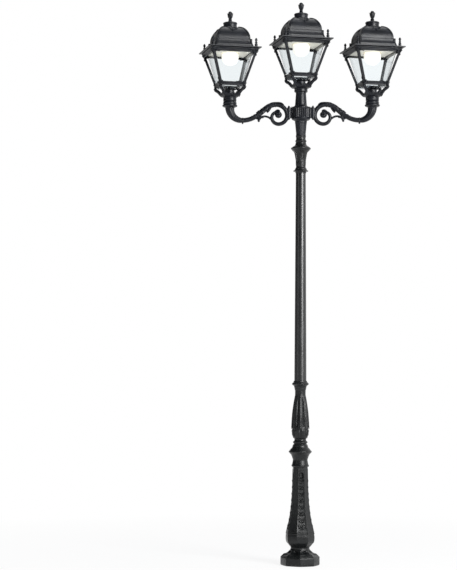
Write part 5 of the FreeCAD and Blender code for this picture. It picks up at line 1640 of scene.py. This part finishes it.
@dataclass
class Studio:
    """Pale floor, white surroundings, soft lamps and the camera of the photograph."""

    distance: float = 11.0
    camera_height: float = 1.2
    pitch: float = 2.89
    yaw: float = 2.36
    roll: float = -0.24
    bright_way: tuple[float, float, float] = (0.84, 0.42, -0.34)
    focal_pixels: float = 1742.0
    frame_height: float = 570.0

    def seen(self, tree: bpy.types.NodeTree) -> Socket:
        """Whether a ray comes from the camera, from gloss or through glass."""
        path = add_node(tree, "ShaderNodeLightPath").outputs
        share = path["Is Camera Ray"]
        for other in ("Is Glossy Ray", "Is Transmission Ray"):
            share = add_node(tree, "ShaderNodeMath", {0: share, 1: path[other]}, operation="MAXIMUM").outputs[0]
        return share

    def white(self, name: str) -> bpy.types.Material:
        """Matt white floor paint that is plain white in sight, but for a soft shadow near the post."""
        skin = Skin(name)
        away = skin.node("ShaderNodeVectorMath", {0: skin.place}, "Value", operation="LENGTH")
        near = skin.ranged(away, 0.86, 1.0, 1.0, 4.0)
        share = skin.node("ShaderNodeMath", {0: self.seen(skin.tree), 1: near}, operation="MULTIPLY")
        matt = skin.node("ShaderNodeBsdfDiffuse", {"Color": linear(WHITE)})
        glow = skin.node("ShaderNodeEmission", {"Color": linear(WHITE), "Strength": 1.0})
        return skin.shown(skin.node("ShaderNodeMixShader", {0: share, 1: matt, 2: glow}))

    def floor(self) -> None:
        """Lays a wide plain floor."""
        side = np.array([[-40.0, -40.0, 0.0], [40.0, -40.0, 0.0], [40.0, 40.0, 0.0], [-40.0, 40.0, 0.0]])
        mesh = bpy.data.meshes.new("floor")
        mesh.from_pydata(side.tolist(), [], [(0, 1, 2, 3)])
        mesh.materials.append(self.white("white_floor_paint"))
        floor = bpy.data.objects.new("floor", mesh)
        bpy.context.scene.collection.objects.link(floor)

    def surroundings(self) -> None:
        """White to the camera and through glass, white on one side to gloss, and an even pale light on the object.

        Gloss sees the backdrop to the right, behind and below, and the dark studio to the left and in front.
        """
        world = bpy.data.worlds.new("studio")
        world.use_nodes = True
        tree = world.node_tree
        tree.nodes.clear()
        way = add_node(tree, "ShaderNodeTexCoord").outputs["Generated"]
        turn = add_node(tree, "ShaderNodeVectorMath", {0: way, 1: self.bright_way}, operation="DOT_PRODUCT")
        bright = add_node(tree, "ShaderNodeMapRange", {
            "Value": turn.outputs["Value"], "From Min": -0.35, "From Max": 0.45, "To Min": -0.93, "To Max": 0.0},
            interpolation_type="SMOOTHSTEP").outputs[0]
        gloss = add_node(tree, "ShaderNodeLightPath").outputs["Is Glossy Ray"]
        strength = add_node(tree, "ShaderNodeMath", {0: gloss, 1: bright, 2: 1.0}, operation="MULTIPLY_ADD").outputs[0]
        plain = add_node(tree, "ShaderNodeBackground", {"Color": linear(WHITE), "Strength": strength}).outputs[0]
        even = add_node(tree, "ShaderNodeBackground", {"Color": linear("#e8eef4"), "Strength": 0.3}).outputs[0]
        mix = add_node(tree, "ShaderNodeMixShader", {0: self.seen(tree), 1: even, 2: plain}).outputs[0]
        add_node(tree, "ShaderNodeOutputWorld", {"Surface": mix})
        bpy.context.scene.world = world

    def lamp(self, name: str, place: Sequence[float], aim: Sequence[float], size: tuple[float, float],
             watts: float) -> None:
        """Hangs a soft oblong lamp that faces a point."""
        light = bpy.data.lights.new(name, "AREA")
        light.shape = "RECTANGLE"
        light.size, light.size_y = size
        light.energy = watts
        lamp = bpy.data.objects.new(name, light)
        way = np.array(aim, float) - np.array(place, float)
        lamp.location = tuple(place)
        lamp.rotation_euler = (math.acos(-way[2] / np.linalg.norm(way)), 0.0, math.atan2(way[0], -way[1]) + math.pi)
        bpy.context.scene.collection.objects.link(lamp)

    def camera(self) -> None:
        """Sets the photograph's camera: level with the lower post, tipped up, with its long narrow view."""
        lens = bpy.data.cameras.new("camera")
        lens.sensor_fit = "VERTICAL"
        lens.sensor_height = 24.0
        lens.lens = 24.0 * self.focal_pixels / self.frame_height
        lens.clip_end = 200.0
        camera = bpy.data.objects.new("camera", lens)
        camera.location = (0.0, -self.distance, self.camera_height)
        camera.rotation_euler = (math.radians(90.0 + self.pitch), math.radians(self.roll), math.radians(self.yaw))
        bpy.context.scene.collection.objects.link(camera)
        bpy.context.scene.camera = camera

    def build(self) -> None:
        """Sets up the studio."""
        self.floor()
        self.surroundings()
        self.lamp("key", (5.0, -6.0, 4.4), (0.0, 0.0, 1.9), (3.0, 4.8), 900.0)
        self.lamp("fill", (-6.0, -4.5, 3.0), (0.0, 0.0, 1.7), (0.5, 4.0), 30.0)
        self.lamp("top", (0.5, 1.0, 7.5), (0.0, 0.0, 2.0), (3.0, 3.0), 90.0)
        self.camera()
        bpy.context.scene.view_settings.view_transform = "Standard"


def main() -> None:
    """Builds the lamp post round its frame."""
    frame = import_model()
    for maker in (Plinth(), Pedestal(), Knob(), Baluster(), Shaft(), Capital(), Hub()):
        maker.build()
        log.info("%s is done", type(maker).__name__)
    arm = Arm()
    arm.build("right", 0.0)
    arm.build("left", 180.0)
    Lantern().build({"left": (-ARM_REACH, SIDE_SEAT), "middle": (0.0, MIDDLE_SEAT), "right": (ARM_REACH, SIDE_SEAT)})
    hidden = {"mast": Finish.GALVANISED, "arm_studs": Finish.STAINLESS}
    for side in ("left", "middle", "right"):
        hidden |= {
            f"foot_studs_{side}": Finish.STAINLESS, f"grub_screws_{side}": Finish.STAINLESS,
            f"gasket_{side}": Finish.RUBBER, f"lampholder_{side}": Finish.CERAMIC,
            f"terminal_block_{side}": Finish.PLASTIC,
        }
    for node, finish in hidden.items():
        dress(frame["nodes"][node], finish)
    Studio().build()


if __name__ == "__main__":
    main()
